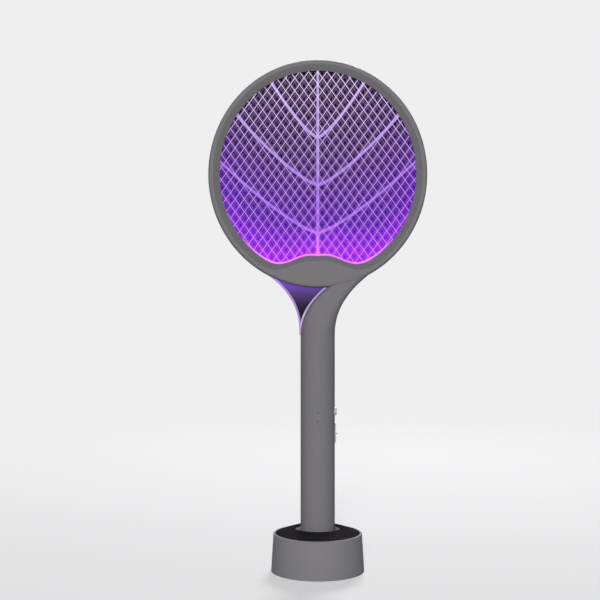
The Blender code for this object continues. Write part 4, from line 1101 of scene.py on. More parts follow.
        # Painted shade: the dished band takes the darker copy of the grey.
        dish_starts, dish_ends = 0, 2
        dished = marked(len(corners), dish_starts, dish_ends)
        reach, depth = self.sections(turn, corners, self.corner)
        loops = self.place(turn[:, None], reach, side.value * depth)
        shape = Shape().tubes(loops[None], wrap=True, mark=dished)
        finishes = [GREY, GREY_PAINTED_DISH_SHADE]
        show(f"{side.word}_ring_moulding", shape, finishes, Body.SWATTER, [f"{side.word}_ring"])

    def hoop(self, low: float, high: float) -> Shape:
        """A flat dark hoop that follows the opening's edge, from low to high along Y.

        Args:
            low: Lowest y.
            high: Highest y.

        Returns:
            A shape with the hoop, marked 1.
        """
        turn = self.turns()
        near = self.opening(turn) + self.hoop_cover
        far = near + self.hoop_width
        corners = [(near, low), (far, low), (far, high), (near, high)]
        reach, depth = self.sections(turn, corners, FIT)
        return Shape().tubes(self.place(turn[:, None], reach, depth)[None], wrap=True, mark=1)

    def inside(self, x: Array, z: Array, beyond: float) -> Array:
        """Whether points lie inside the opening's edge moved outwards.

        The edge is read as a radius for each direction from the head's centre.

        Args:
            x: Values of x.
            z: Heights above the head's centre.
            beyond: How far the edge is moved.

        Returns:
            True where a point lies inside.
        """
        turn = np.linspace(-np.pi, np.pi, self.edge_samples)
        edge = self.place(turn, self.opening(turn) + beyond, 0.0)
        direction = np.unwrap(np.arctan2(edge[:, 0], self.centre - edge[:, 2]))
        radius = np.hypot(edge[:, 0], edge[:, 2] - self.centre)
        return np.hypot(x, z) < np.interp(np.arctan2(x, -z), direction, radius)

    def strands(self, weave: Weave) -> Array:
        """Straight strands across the opening, each clipped to the hoop.

        A strand is a line of whole or offset cell numbers. It is sampled, and each run of samples inside
        the opening becomes a rod with an oval section, unless it is hardly longer than wide.

        Args:
            weave: The strands' sizes.

        Returns:
            Tubes of two loops.
        """
        across, up = weave.cell_width, weave.cell_height
        most = math.ceil(math.hypot(self.half_width / across, self.half_height / up)) + 1
        number = (np.arange(-most, most + 1)[:, None] + np.array(weave.offsets)).ravel()
        far = self.half_height * self.strand_overreach
        along = np.linspace(-far, far, self.strand_samples)
        turn = 2 * np.pi * (np.arange(self.strand_sides) + 0.5) / self.strand_sides
        tubes = []
        for hand in HANDS:
            normal = np.array([1 / across, hand / up])
            heading = np.array([across, -hand * up]) / math.hypot(across, up)
            foot = number[:, None] * normal / (normal @ normal)
            points = foot[:, None] + along[:, None] * heading
            inside = self.inside(points[..., 0], points[..., 1], self.into_hoop)
            change = np.diff(inside.astype(np.int8), axis=1, prepend=0, append=0)
            starts, ends = np.argwhere(change == 1), np.argwhere(change == -1)
            first = points[starts[:, 0], starts[:, 1]]
            last = points[ends[:, 0], ends[:, 1] - 1]
            long = np.linalg.norm(last - first, axis=1) > weave.width * self.strand_least
            span = np.stack([first, last], axis=1)[long]
            square = np.array([-heading[1], heading[0]])
            plan = span[:, :, None] + square * (weave.width / 2 * np.cos(turn))[:, None]
            depth = weave.middle + hand * weave.stagger + weave.thickness / 2 * np.sin(turn)
            depth = np.broadcast_to(depth, plan.shape[:-1])
            tubes.append(np.stack([plan[..., 0], depth, plan[..., 1] + self.centre], axis=-1))
        return np.concatenate(tubes)

    def guard_net(self, side: Side) -> None:
        """A guard net: a hoop with coarse diamond cells of bright wire.

        Args:
            side: Which of the two nets.
        """
        half = self.net_thickness / 2
        middle = side.value * (self.guard_outer - half)
        shape = self.hoop(middle - half, middle + half)
        weave = Weave(
            cell_width=self.cell_width,
            cell_height=self.cell_height,
            width=self.wire_width,
            thickness=self.wire_thickness,
            middle=middle,
            stagger=self.wire_stagger,
        )
        shape.tubes(self.strands(weave))
        name, node = f"{side.word}_guard_wires", f"{side.word}_guard_net"
        show(name, shape, [STRAND, FILL], Body.SWATTER, [node])

    def shock_net(self) -> None:
        """The live net in the middle: wires in groups of four over a fine dense mesh."""
        half = self.net_thickness / 2
        shape = self.hoop(-half, half)
        lines = Weave(
            cell_width=self.cell_width,
            cell_height=self.cell_height,
            width=self.line_width,
            thickness=self.line_thickness,
            middle=0.0,
            stagger=0.0,
            offsets=self.line_places,
        )
        shape.tubes(self.strands(lines))
        across, up = self.cell_width / self.fill_division, self.cell_height / self.fill_division
        spacing = across * up / math.hypot(across, up)
        fill = Weave(
            cell_width=across,
            cell_height=up,
            width=spacing * self.fill_cover,
            thickness=self.fill_thickness,
            middle=0.0,
            stagger=self.fill_stagger,
        )
        shape.tubes(self.strands(fill), mark=1)
        show("shock_wires", shape, [FINE_LINE, FILL], Body.SWATTER, ["shock_grid"])

    def leaf_ribs(self, side: Side) -> None:
        """The frame between two nets: a hoop, an upright stem and pairs of curved veins.

        Along a vein x grows evenly and z with a power of the share, and its width narrows a little.

        Args:
            side: Which of the two frames.
        """
        outer = self.guard_outer - self.net_thickness - FIT
        low, high = sorted((side.value * (self.net_thickness / 2 + FIT), side.value * outer))
        shape = self.hoop(low, high)
        outer -= self.rib_setback
        low, high = sorted((side.value * (outer - self.rib_depth), side.value * outer))
        ends = np.array([0.0, np.pi])
        foot, top = self.place(ends, self.opening(ends) + self.into_hoop, 0.0)[:, 2]
        height = np.linspace(foot, top, self.stem_steps)
        stem = np.stack([0 * height, height], axis=-1)
        taper = np.linspace(*self.stem_taper, self.stem_steps)
        shape.tubes(ribbon(stem, taper * self.rib_width, low, high))
        share = np.linspace(0, 1, self.vein_steps)
        width = (1.0 - self.vein_taper * share) * self.rib_width
        within_stem = self.rib_width / 4
        for pair in range(self.vein_pairs):
            start = foot + (top - foot) * (self.vein_start + self.vein_spacing * pair)
            turn = np.array([math.radians(self.vein_end_degrees + self.vein_step_degrees * pair)])
            end = self.place(turn, self.opening(turn) + self.into_hoop, 0.0)[0]
            z = start + (end[2] - start) * share**self.vein_power
            for hand in HANDS:
                x = hand * (within_stem + (end[0] - within_stem) * share)
                shape.tubes(ribbon(np.stack([x, z], axis=-1), width, low, high))
        name, node = f"{side.word}_leaf_ribs", f"{side.word}_rib_frame"
        show(name, shape, [RIB, FILL], Body.SWATTER, [node])

    def lit_edge(self, side: Side) -> None:
        """The lit strip along the crescent's wave, which thins out towards both ends.

        Args:
            side: Which of the two strips.
        """
        turn = np.linspace(-self.glow_span, self.glow_span, self.glow_steps)
        outer = self.opening(turn) - FIT
        fade = np.clip((self.glow_span - np.abs(turn)) / self.glow_fade, 0, 1)
        width = self.glow_width * (self.glow_least + (1 - self.glow_least) * fade * (2 - fade))
        low = self.half_depth - self.flange
        high = self.half_depth - self.dish_depth
        c, s = squircle(count=12, power=2.6)
        reach = (outer - width / 2)[:, None] + width[:, None] / 2 * c
        depth = side.value * ((low + high) / 2 + (high - low) / 2 * s)
        shape = Shape().tubes(self.place(turn[:, None], reach, depth)[None])
        name, node = f"{side.word}_lit_edge", f"{side.word}_glow_strip"
        show(name, shape, [GLOW], Body.SWATTER, [node])

    def build(self) -> None:
        """Makes all pieces of the head."""
        for side in Side:
            self.ring(side)
            self.guard_net(side)
            self.leaf_ribs(side)
            self.lit_edge(side)
        self.shock_net()


@dataclass
class Neck:
    """Edges of the neck and of the light guide beside it, as x for each height."""

    head: Head
    radius: float = 0.0160
    rise: float = 0.0466
    # Where and how steeply the edges meet the ring.
    left_meets: float = math.radians(4.55)
    left_power: float = 2.25
    right_meets: float = math.radians(28.0)
    right_power: float = 2.3
    dive: float = 0.0040
    dive_height: float = 0.0080
    # The section, from the handle to the head.
    depth_at_head: float = 0.0113
    depth_blend: float = 0.0430
    round_power: float = 2.0
    flat_power: float = 4.0
    # The light guide.
    guide_meets: float = math.radians(25.56)
    guide_power: float = 2.6
    guide_proud: float = 0.0011
    guide_sink: float = 0.0002

    @property
    def start(self) -> float:
        """Height at which the handle turns into the neck."""
        return self.head.centre - self.head.half_height - self.rise

    @property
    def flare_end(self) -> Array:
        """The point at which the right edge meets the ring's outside."""
        return self.head.place(self.right_meets, self.head.bulge, 0.0)

    @property
    def tip(self) -> float:
        """Height by which the right edge has run into the ring."""
        return float(self.flare_end[2]) + self.dive_height

    def climb(self, z: Array, end: float) -> Array:
        """Share of the way from the neck's start up to an end height, not below 0."""
        return np.maximum(z - self.start, 0) / (end - self.start)

    def left(self, z: Array) -> Array:
        """Left edge of the solid neck: it grows with a power of the climb to its meeting with the ring."""
        x, _, end = self.head.place(self.left_meets, self.head.outside, 0.0)
        return -self.radius + (x + self.radius) * self.climb(z, end) ** self.left_power

    def edge_of_ring(self, z: Array) -> Array:
        """Half width of the ring's outside at a height."""
        share = (self.head.centre - z) / (self.head.half_height + self.head.bulge)
        return (self.head.half_width + self.head.bulge) * np.sqrt(np.maximum(1 - share**2, 0))

    def right(self, z: Array) -> Array:
        """Right edge of the neck: a power of the climb up to the ring, from where it runs into the ring.

        Args:
            z: Heights.

        Returns:
            The edge's x at each of them.
        """
        x, _, end = self.flare_end
        free = self.radius + (x - self.radius) * self.climb(z, end) ** self.right_power
        past = np.maximum(z - end, 0) / self.dive_height
        return np.where(past > 0, np.minimum(free, self.edge_of_ring(z) - self.dive * past), free)

    def blend(self, z: Array) -> Array:
        """Smooth share of the way from the handle's section to the one at the head."""
        share = np.clip((z - self.start) / self.depth_blend, 0, 1)
        return share * share * (3 - 2 * share)

    def half_depth(self, z: Array) -> Array:
        """Half depth of the neck, which eases from the handle's radius to its depth at the head."""
        return self.radius + (self.depth_at_head - self.radius) * self.blend(z)

    def power(self, z: Array) -> Array:
        """Power of the section, which eases from a round one to a flat-faced one at the head."""
        return self.round_power + (self.flat_power - self.round_power) * self.blend(z)

    def guide_left(self, z: Array) -> Array:
        """Left edge of the light guide: proud of the handle, then a power of the climb out to the ring.

        Args:
            z: Heights.

        Returns:
            The edge's x at each of them.
        """
        x, _, end = self.head.place(-self.guide_meets, self.head.outside, 0.0)
        start = -self.radius - self.guide_proud
        return start + (x - start) * self.climb(z, end) ** self.guide_power

    def guide_right(self, z: Array) -> Array:
        """Right edge of the light guide, sunk into the side of the solid neck."""
        return self.left(z) + self.guide_sink

    def level_width(self, edge: Array, z: Array, width: float) -> Array:
        """Level width of a band that is as wide as given square to its edge."""
        return width * np.hypot(1, np.gradient(edge, z))


@dataclass
class LampWindow:
    """The violet pane left of the neck and the lit guide round it."""

    neck: Neck
    tail_end: float = 0.0008
    edge_reach: float = 0.0600
    edge_samples: int = 6000
    left_width: float = 0.0020
    right_width: float = 0.0015
    guide_half_depth: float = 0.0050
    pane_half_depth: float = 0.0015
    sag_power: int = 3
    steps: int = 90

    def edges(self, inset: float) -> tuple[Array, Array, Array, Array, Array]:
        """Edges of the guide on a fine scale of heights.

        Args:
            inset: How far the inner edges are moved apart from the outer ones.

        Returns:
            Heights, outer left, inner left, inner right and outer right x.
        """
        neck = self.neck
        z = np.linspace(neck.start + self.tail_end, neck.start + self.edge_reach, self.edge_samples)
        left, right = neck.guide_left(z), neck.guide_right(z)
        middle = (left + right) / 2
        inner_left = np.minimum(left + neck.level_width(left, z, self.left_width + inset), middle)
        inner_right = np.maximum(right - neck.level_width(right, z, self.right_width + inset), middle)
        return z, left, inner_left, inner_right, right

    def up(self, z: Array, x: Array, low: float) -> Array:
        """Even points up an edge, from a height to where it runs into the ring.

        Args:
            z: Heights.
            x: The edge's x at each of them.
            low: The height to start from.

        Returns:
            Pairs of x and z.
        """
        head = self.neck.head
        high = z[np.argmax(head.within(x, z, head.sunk))]
        height = np.linspace(low, high, self.steps)
        return np.stack([np.interp(height, z, x), height], axis=-1)

    def guide(self) -> None:
        """The guide: a strip along each side of the window, which meet in a tail on the handle."""
        z, left, inner_left, inner_right, right = self.edges(0.0)
        low = float(z[0])
        shape = Shape()
        for mark, (first, last) in enumerate(((left, inner_left), (inner_right, right))):
            strip = band(self.up(z, first, low), self.up(z, last, low), self.guide_half_depth)
            shape.tubes(strip, mark=mark)
        show("neck_light_guide", shape, [GUIDE, GUIDE_PALE], Body.SWATTER, ["light_guide"])

    def pane(self) -> None:
        """The pane between the strips, whose top edge is pulled onto the ring's curve.

        The pull grows with a power of the share of the way up.
        """
        z, _, inner_left, inner_right, _ = self.edges(-FIT)
        apex = float(z[np.argmax(inner_right - inner_left > FIT)])
        loops = band(self.up(z, inner_left, apex), self.up(z, inner_right, apex), self.pane_half_depth)
        share = (np.linspace(0, 1, self.steps) ** self.sag_power)[:, None]
        sag = self.neck.head.ring_height(loops[0, -1:, :, 0]) - loops[0, -1:, :, 2]
        loops[0, :, :, 2] += share * sag
        show("violet_lamp_pane", Shape().tubes(loops), [PANE], Body.SWATTER, ["lamp_window"])

    def build(self) -> None:
        """Makes the guide and the pane."""
        self.guide()
        self.pane()


@dataclass
class Handle:
    """The two moulded halves of the handle and neck, and the cap in its foot."""

    neck: Neck
    bottom: float
    button: float
    slider: float
    screws: tuple[float, float]
    wall: float = 0.0020
    seam: float = 0.0003
    # The openings for the controls and the screw bores.
    button_half_width: float = 0.0046
    button_half_height: float = 0.0040
    slot_half_width: float = 0.0018
    slot_half_height: float = 0.0053
    slot_step: tuple[float, float] = (-1e-6, 1e-5)
    bore_radius: float = 0.0030
    bore_seat: float = 0.0080
    bore_end: float = 0.0300
    # The cap in the foot.
    foot: float = 0.0127
    cap_flange: float = 0.0027
    cap_plug: float = 0.0040
    cap_round: float = 0.0005
    cap_steps: int = 96
    pad_spacing: float = 0.0120
    pad_radius: float = 0.0033
    pad_depth: float = 0.0015
    pad_overrun: float = 0.0040
    # How finely the halves are drawn.
    steps: int = 56
    plain_levels: int = 40
    oval_levels: int = 21
    neck_levels: int = 90
    neck_samples: int = 1600

    def hole(self, z: Array) -> Array:
        """Half width of the openings in the right seam: an oval for the button, a slot for the slider.

        Args:
            z: Heights.

        Returns:
            The half width at each of them, 0 where there is no opening.
        """
        share = 1 - ((z - self.button) / self.button_half_height) ** 2
        oval = self.button_half_width * np.sqrt(np.maximum(share, 0))
        slot = np.where(np.abs(z - self.slider) <= self.slot_half_height, self.slot_half_width, 0.0)
        return np.maximum(oval, slot)

    def levels(self) -> Array:
        """Heights of the handle's sections, close together round the openings.

        Returns:
            The heights, from the lowest up.
        """
        oval = self.button + self.button_half_height * np.cos(np.linspace(0, np.pi, self.oval_levels))
        edge = self.slot_half_height + np.array(self.slot_step)
        slot = np.concatenate([self.slider - edge, self.slider + edge])
        plain = np.linspace(self.bottom, self.neck.start, self.plain_levels)
        return np.unique(np.concatenate([plain, oval, slot]))

    def arc(self, wall: float) -> Array:
        """Points of one wall of a half, by section and place from the right seam to the left one.

        In the handle a section is level, and the openings move its start away from the seam. In the neck
        each line runs up evenly until it is buried in the ring, so that the top follows the ring. The outer
        wall draws in at both seams, so that the halves meet in a fine groove.

        Args:
            wall: How far the wall lies inside the outer face.

        Returns:
            Points of the rear half.
        """
        neck = self.neck
        near = self.seam / (np.pi * neck.radius)
        share = np.concatenate([[0.0], np.linspace(near, 1 - near, self.steps), [1.0]])
        if wall == 0:
            wall = np.where((share == 0) | (share == 1), self.seam, 0.0)
        level = self.levels()[:, None]
        begin = np.arcsin(np.clip(self.hole(level) / neck.radius, 0, 1))
        turn = begin + (np.pi - begin) * share
        climb = np.linspace(neck.start, neck.tip, self.neck_samples)[:, None]
        x, _ = self.section(climb, np.pi * share, wall)
        met = neck.head.within(x, climb, neck.head.buried)
        end = np.where(met.any(0), climb[np.argmax(met, axis=0), 0], neck.tip)
        rise = neck.start + np.linspace(0, 1, self.neck_levels + 1)[1:, None] * (end - neck.start)
        heights = np.concatenate([np.broadcast_to(level, turn.shape), rise])
        turn = np.concatenate([turn, np.broadcast_to(np.pi * share, rise.shape)])
        x, y = self.section(heights, turn, wall)
        return np.stack([x, np.maximum(y, 0), heights], axis=-1)

    def section(self, z: Array, turn: Array, wall: Array) -> tuple[Array, Array]:
        """x and y of the rear half at heights and turns from the right seam.

        The section is the curve on which the shares of its half width and half depth, each raised to the
        neck's power, add up to 1.

        Args:
            z: Heights.
            turn: Turns, 0 at the right seam.
            wall: How far the wall lies inside the outer face.

        Returns:
            Values of x and y.
        """
        left, right, power = self.neck.left(z), self.neck.right(z), self.neck.power(z)
        c, s = np.cos(turn), np.abs(np.sin(turn))
        reach = (np.abs(c) ** power + s**power) ** (-1 / power)
        x = (left + right) / 2 + ((right - left) / 2 - wall) * c * reach
        return x, (self.neck.half_depth(z) - wall) * s * reach

    def half(self, side: Side) -> bpy.types.Object:
        """One half: its outer wall and back along its inner one.

        Args:
            side: Which half.

        Returns:
            The piece.
        """
        loops = np.concatenate([self.arc(0.0), self.arc(self.wall)[:, ::-1]], axis=1)
        loops[..., 1] *= side.value
        name = f"handle_{side.word}_moulding"
        shape = Shape().trough(loops)
        return show(name, shape, [GREY], Body.SWATTER, [f"handle_{side.word}_shell"])

    def foot_cap(self) -> None:
        """The cap in the handle's foot, turned, with a pocket for each charging contact."""
        outer, inner = self.neck.radius, self.neck.radius - self.wall - FIT
        flange = self.foot + self.cap_flange
        top = flange + self.cap_plug
        outline = np.array([
            (CORE_RADIUS, self.foot), (outer, self.foot), (outer, flange),
            (inner, flange), (inner, top), (CORE_RADIUS, top),
        ])
        shape = Shape().tubes(turned(rounded(outline, self.cap_round), self.cap_steps), wrap=True)
        cap = show("handle_foot_cap", shape, [DARK], Body.SWATTER, ["end_cap"])
        low, high = self.foot - self.pad_overrun, self.foot + self.pad_depth
        cut(cap, upright_rods(self.pad_spacing, low, high, self.pad_radius))

    def build(self) -> None:
        """Makes the halves, with screw bores in the rear one, and the cap."""
        self.half(Side.FRONT)
        rear = self.half(Side.REAR)
        seat = self.neck.radius - self.bore_seat
        bores = [rod((0, seat, z), (0, self.bore_end, z), self.bore_radius) for z in self.screws]
        cut(rear, [Shape().tubes(bore) for bore in bores])
        self.foot_cap()


@dataclass
class Controls:
    """The push button and the slide switch's knob on the right side."""

    button: float
    slider: float
    radius: float = 0.0160
    cavity: float = 0.0140
    switch_face: float = 0.0090
    # The button.
    half_width: float = 0.0043
    half_height: float = 0.0037
    proud: float = 0.0017
    edge: float = 0.0008
    edge_steps: int = 8
    face_dips: tuple[float, float] = (0.00005, 0.00016)
    face_insets: tuple[float, float] = (0.0018, 0.0030)
    flange: float = 0.0008
    flange_inset: float = 0.0020
    travel: float = 0.0010
    button_sides: int = 48
    # The slide switch's knob.
    knob_half_width: float = 0.0032
    knob_half_height: float = 0.0092
    knob_proud: float = 0.0011
    knob_edge: float = 0.0005
    knob_edge_steps: int = 6
    knob_insets: tuple[float, float] = (0.5, 0.9)
    knob_least: float = 0.2
    rib_share: float = 0.9
    rib_proud: float = 0.0025
    rib_half_height: float = 0.0012
    stem_half_width: float = 0.0015
    stem_half_height: float = 0.0020

    def button_cap(self) -> None:
        """The button: ovals along X, with a flange inside, a quarter-circle edge and a dished face."""
        top = self.radius + self.proud
        neck = self.cavity - self.flange_inset
        bend = np.linspace(0, np.pi / 2, self.edge_steps + 1)[1:]
        x = np.concatenate([
            [self.switch_face + FIT + self.travel, neck, neck, top - self.edge],
            top - self.edge + self.edge * np.sin(bend),
            top - np.array(self.face_dips),
        ])
        more = np.concatenate([
            [self.flange, self.flange, 0, 0],
            -self.edge * (1 - np.cos(bend)),
            -np.array(self.face_insets),
        ])
        turn = 2 * np.pi * np.arange(self.button_sides) / self.button_sides
        y = (self.half_width + more)[:, None] * np.cos(turn)
        z = self.button + (self.half_height + more)[:, None] * np.sin(turn)
        loops = np.stack([np.broadcast_to(x[:, None], y.shape), y, z], axis=-1)
        show("zap_button_cap", Shape().tubes(loops[None]), [PALE], Body.BUTTON, ["zap_button"])

    def pad(self, inner: float, outer: float, half_width: float, half_height: float) -> Array:
        """A curved pad on the handle: rounded squares of angle and height, at radii from inner to outer.

        Args:
            inner: Radius of its back.
            outer: Radius of its face.
            half_width: Half its width round the handle.
            half_height: Half its height.

        Returns:
            One tube of loops.
        """
        edge = min((outer - inner) / 2, self.knob_edge)
        bend = np.linspace(0, np.pi / 2, self.knob_edge_steps)
        r = np.concatenate([[inner], outer - edge + edge * np.sin(bend), [outer, outer]])[:, None]
        less = np.concatenate([[0], edge * (1 - np.cos(bend)), half_width * np.array(self.knob_insets)])
        c, s = squircle(count=40, power=5.0)
        angle = (half_width - less)[:, None] / self.radius * c
        z = self.slider + np.maximum(half_height - less, half_height * self.knob_least)[:, None] * s
        return np.stack([r * np.cos(angle), r * np.sin(angle), z], axis=-1)[None]

    def slider_knob(self) -> None:
        """The knob: a curved plate, a grip rib and a stem through the slot."""
        inner, outer = self.radius + FIT, self.radius + self.knob_proud
        shape = Shape().tubes(self.pad(inner, outer, self.knob_half_width, self.knob_half_height))
        middle = (inner + outer) / 2
        rib_width = self.knob_half_width * self.rib_share
        shape.tubes(self.pad(middle, self.radius + self.rib_proud, rib_width, self.rib_half_height))
        c, s = squircle(count=16, power=6.0)
        x = np.array([self.switch_face + FIT, middle])[:, None]
        y, z = self.stem_half_width * c, self.slider + self.stem_half_height * s
        shape.tubes(np.stack(np.broadcast_arrays(x, y, z), axis=-1)[None])
        show("mode_slider_knob", shape, [PALE], Body.SLIDER, ["mode_slider"])

    def build(self) -> None:
        """Makes the button and the knob."""
        self.button_cap()
        self.slider_knob()


@dataclass
class Stand:
    """The charging stand's wall, domed top and socket."""

    # The wall.
    bottom_radius: float = 0.0434
    top_radius: float = 0.0413
    height: float = 0.0353
    foot: float = 0.0002
    wall: float = 0.0024
    wall_round: float = 0.0006
    edge: float = 0.0007
    rim: float = 0.0020
    ledge_depth: float = 0.0028
    ledge_width: float = 0.0017
    ledge_thickness: float = 0.0015
    steps: int = 160
    # The dome.
    dome_rise: float = 0.0050
    dome_thickness: float = 0.0022
    dome_crown: float = 0.0004
    dome_round: float = 0.0004
    dome_steps: int = 9
    # The socket.
    socket_radius: float = 0.0164
    socket_floor: float = 0.0124
    socket_round: float = 0.0004
    sleeve_bottom: float = 0.0102
    sleeve_wall: float = 0.0017
    funnel_width: float = 0.0060
    funnel_depth: float = 0.0080
    throat_width: float = 0.0045
    flange_width: float = 0.0040
    flange_thickness: float = 0.0018
    flange_gap: float = FIT * 4
    # The openings for the pins and the inlet.
    pin_spacing: float = 0.0120
    pin_hole: float = 0.0011
    pin_overrun: float = 0.0030
    inlet_margin: float = 0.0004
    inlet_depth: float = 0.0040
    inlet_overrun: float = 0.0200

    @property
    def mouth(self) -> float:
        """Height of the socket's mouth."""
        return self.height + self.dome_rise

    @property
    def lip(self) -> float:
        """Outer radius of the socket's lip."""
        return self.socket_radius + self.funnel_width + self.sleeve_wall

    def radius(self, z: float) -> float:
        """Outside radius at a height: a straight taper."""
        share = (z - self.foot) / (self.height - self.foot)
        return self.bottom_radius + (self.top_radius - self.bottom_radius) * share

    def side_wall(self) -> None:
        """The light side wall, turned, with its ledge inside and the inlet's opening at the rear."""
        rim = self.top_radius - self.rim
        ledge = self.height - self.ledge_depth
        under = ledge - self.ledge_thickness
        outline = np.array([
            (self.bottom_radius, self.foot),
            (self.radius(self.height - self.edge), self.height - self.edge),
            (self.top_radius - self.edge, self.height),
            (rim, self.height),
            (rim, ledge),
            (rim - self.ledge_width, ledge),
            (rim - self.ledge_width, under),
            (self.radius(under - self.ledge_width) - self.wall, under - self.ledge_width),
            (self.bottom_radius - self.wall, self.foot),
        ])
        shape = Shape().tubes(turned(rounded(outline, self.wall_round), self.steps), wrap=True)
        piece = show("stand_wall", shape, [GREY_STAND], Body.STAND, ["stand_shell"])
        low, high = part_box("charge_inlet")
        c, s = squircle(count=32, power=6.0)
        x = (low.x + high.x) / 2 + ((high.x - low.x) / 2 + self.inlet_margin) * c
        z = (low.z + high.z) / 2 + ((high.z - low.z) / 2 + self.inlet_margin) * s
        y = np.array([high.y - self.inlet_depth, high.y + self.inlet_overrun])[:, None]
        cut(piece, [Shape().tubes(np.stack(np.broadcast_arrays(x, y, z), axis=-1)[None])])

    def dome(self) -> None:
        """The top, turned and painted dark as shade: it rises evenly to the socket's lip, with a slight
        parabolic crown.
        """
        outer = self.top_radius - self.rim - FIT
        inner = self.lip + FIT
        edge = self.height - self.ledge_depth + FIT
        share = np.linspace(0, 1, self.dome_steps)
        crown = self.dome_crown * 4 * share * (1 - share)
        height = self.height - FIT + self.dome_rise * share + crown
        face = np.stack([outer + (inner - outer) * share, height], axis=-1)
        back = np.array([
            (inner, self.mouth - FIT - self.dome_thickness),
            (outer - self.dome_thickness, edge),
            (outer, edge),
        ])
        outline = rounded(np.concatenate([face, back]), self.dome_round)
        shape = Shape().tubes(turned(outline, self.steps), wrap=True)
        show("stand_dome", shape, [DARK], Body.STAND, ["stand_top"])

    def socket(self) -> None:
        """The socket, turned: sleeve with a floor, funnel with a mouth painted dark as shade, flange under
        the dome.
        """
        outer = self.socket_radius + self.sleeve_wall
        slope = self.dome_rise / (self.top_radius - self.rim - self.lip)
        flange_top = self.mouth - self.dome_thickness - self.flange_gap
        low = flange_top - slope * self.flange_width
        throat_depth = self.funnel_depth * (1 - self.throat_width / self.funnel_width)
        outline = np.array([
            (CORE_RADIUS, self.sleeve_bottom),
            (outer, self.sleeve_bottom),
            (outer, self.mouth - self.funnel_depth - self.sleeve_wall),
            (self.lip, low - self.flange_thickness),
            (self.lip + self.flange_width, low - self.flange_thickness),
            (self.lip + self.flange_width, low),
            (self.lip, flange_top),
            (self.lip, self.mouth),
            (self.socket_radius + self.funnel_width, self.mouth),
            (self.socket_radius + self.throat_width, self.mouth - throat_depth),
            (self.socket_radius, self.mouth - self.funnel_depth),
            (self.socket_radius, self.socket_floor),
            (CORE_RADIUS, self.socket_floor),
        ])
        # Painted shade: the lip and the funnel's upper slope take the dark finish, like the top.
        flange_corner, throat_corner = 6, 9
        dark = marked(len(outline), flange_corner, throat_corner)
        loops = turned(rounded(outline, self.socket_round), self.steps)
        shape = Shape().tubes(loops, wrap=True, mark=dark)
        piece = show("stand_socket", shape, [GREY, DARK], Body.STAND, ["socket_sleeve"])
        low, high = self.sleeve_bottom - self.pin_overrun, self.socket_floor + self.pin_overrun
        cut(piece, upright_rods(self.pin_spacing, low, high, self.pin_hole))

    def build(self) -> None:
        """Makes the wall, the dome and the socket."""
        self.side_wall()
        self.dome()
        self.socket()


@dataclass(frozen=True)
class SoftLight:
    """A square soft light that faces the middle of the object.

    Attributes:
        name: Its name.
        place: Where it stands.
        size: Its side.
        power: Its power in watts.
        aim: The point that it faces.
    """

    name: str
    place: Point
    size: float
    power: float
    aim: Point = (0.0, 0.0, 0.26)

    def build(self) -> None:
        """Puts the light into the scene, unseen by the camera itself."""
        data = bpy.data.lights.new(self.name, "AREA")
        data.size = self.size
        data.energy = self.power
        lamp = new_object(self.name, data)
        lamp.location = self.place
        lamp.visible_camera = False
        way = Vector(self.aim) - Vector(self.place)
        lamp.rotation_euler = way.to_track_quat("-Z", "Y").to_euler()


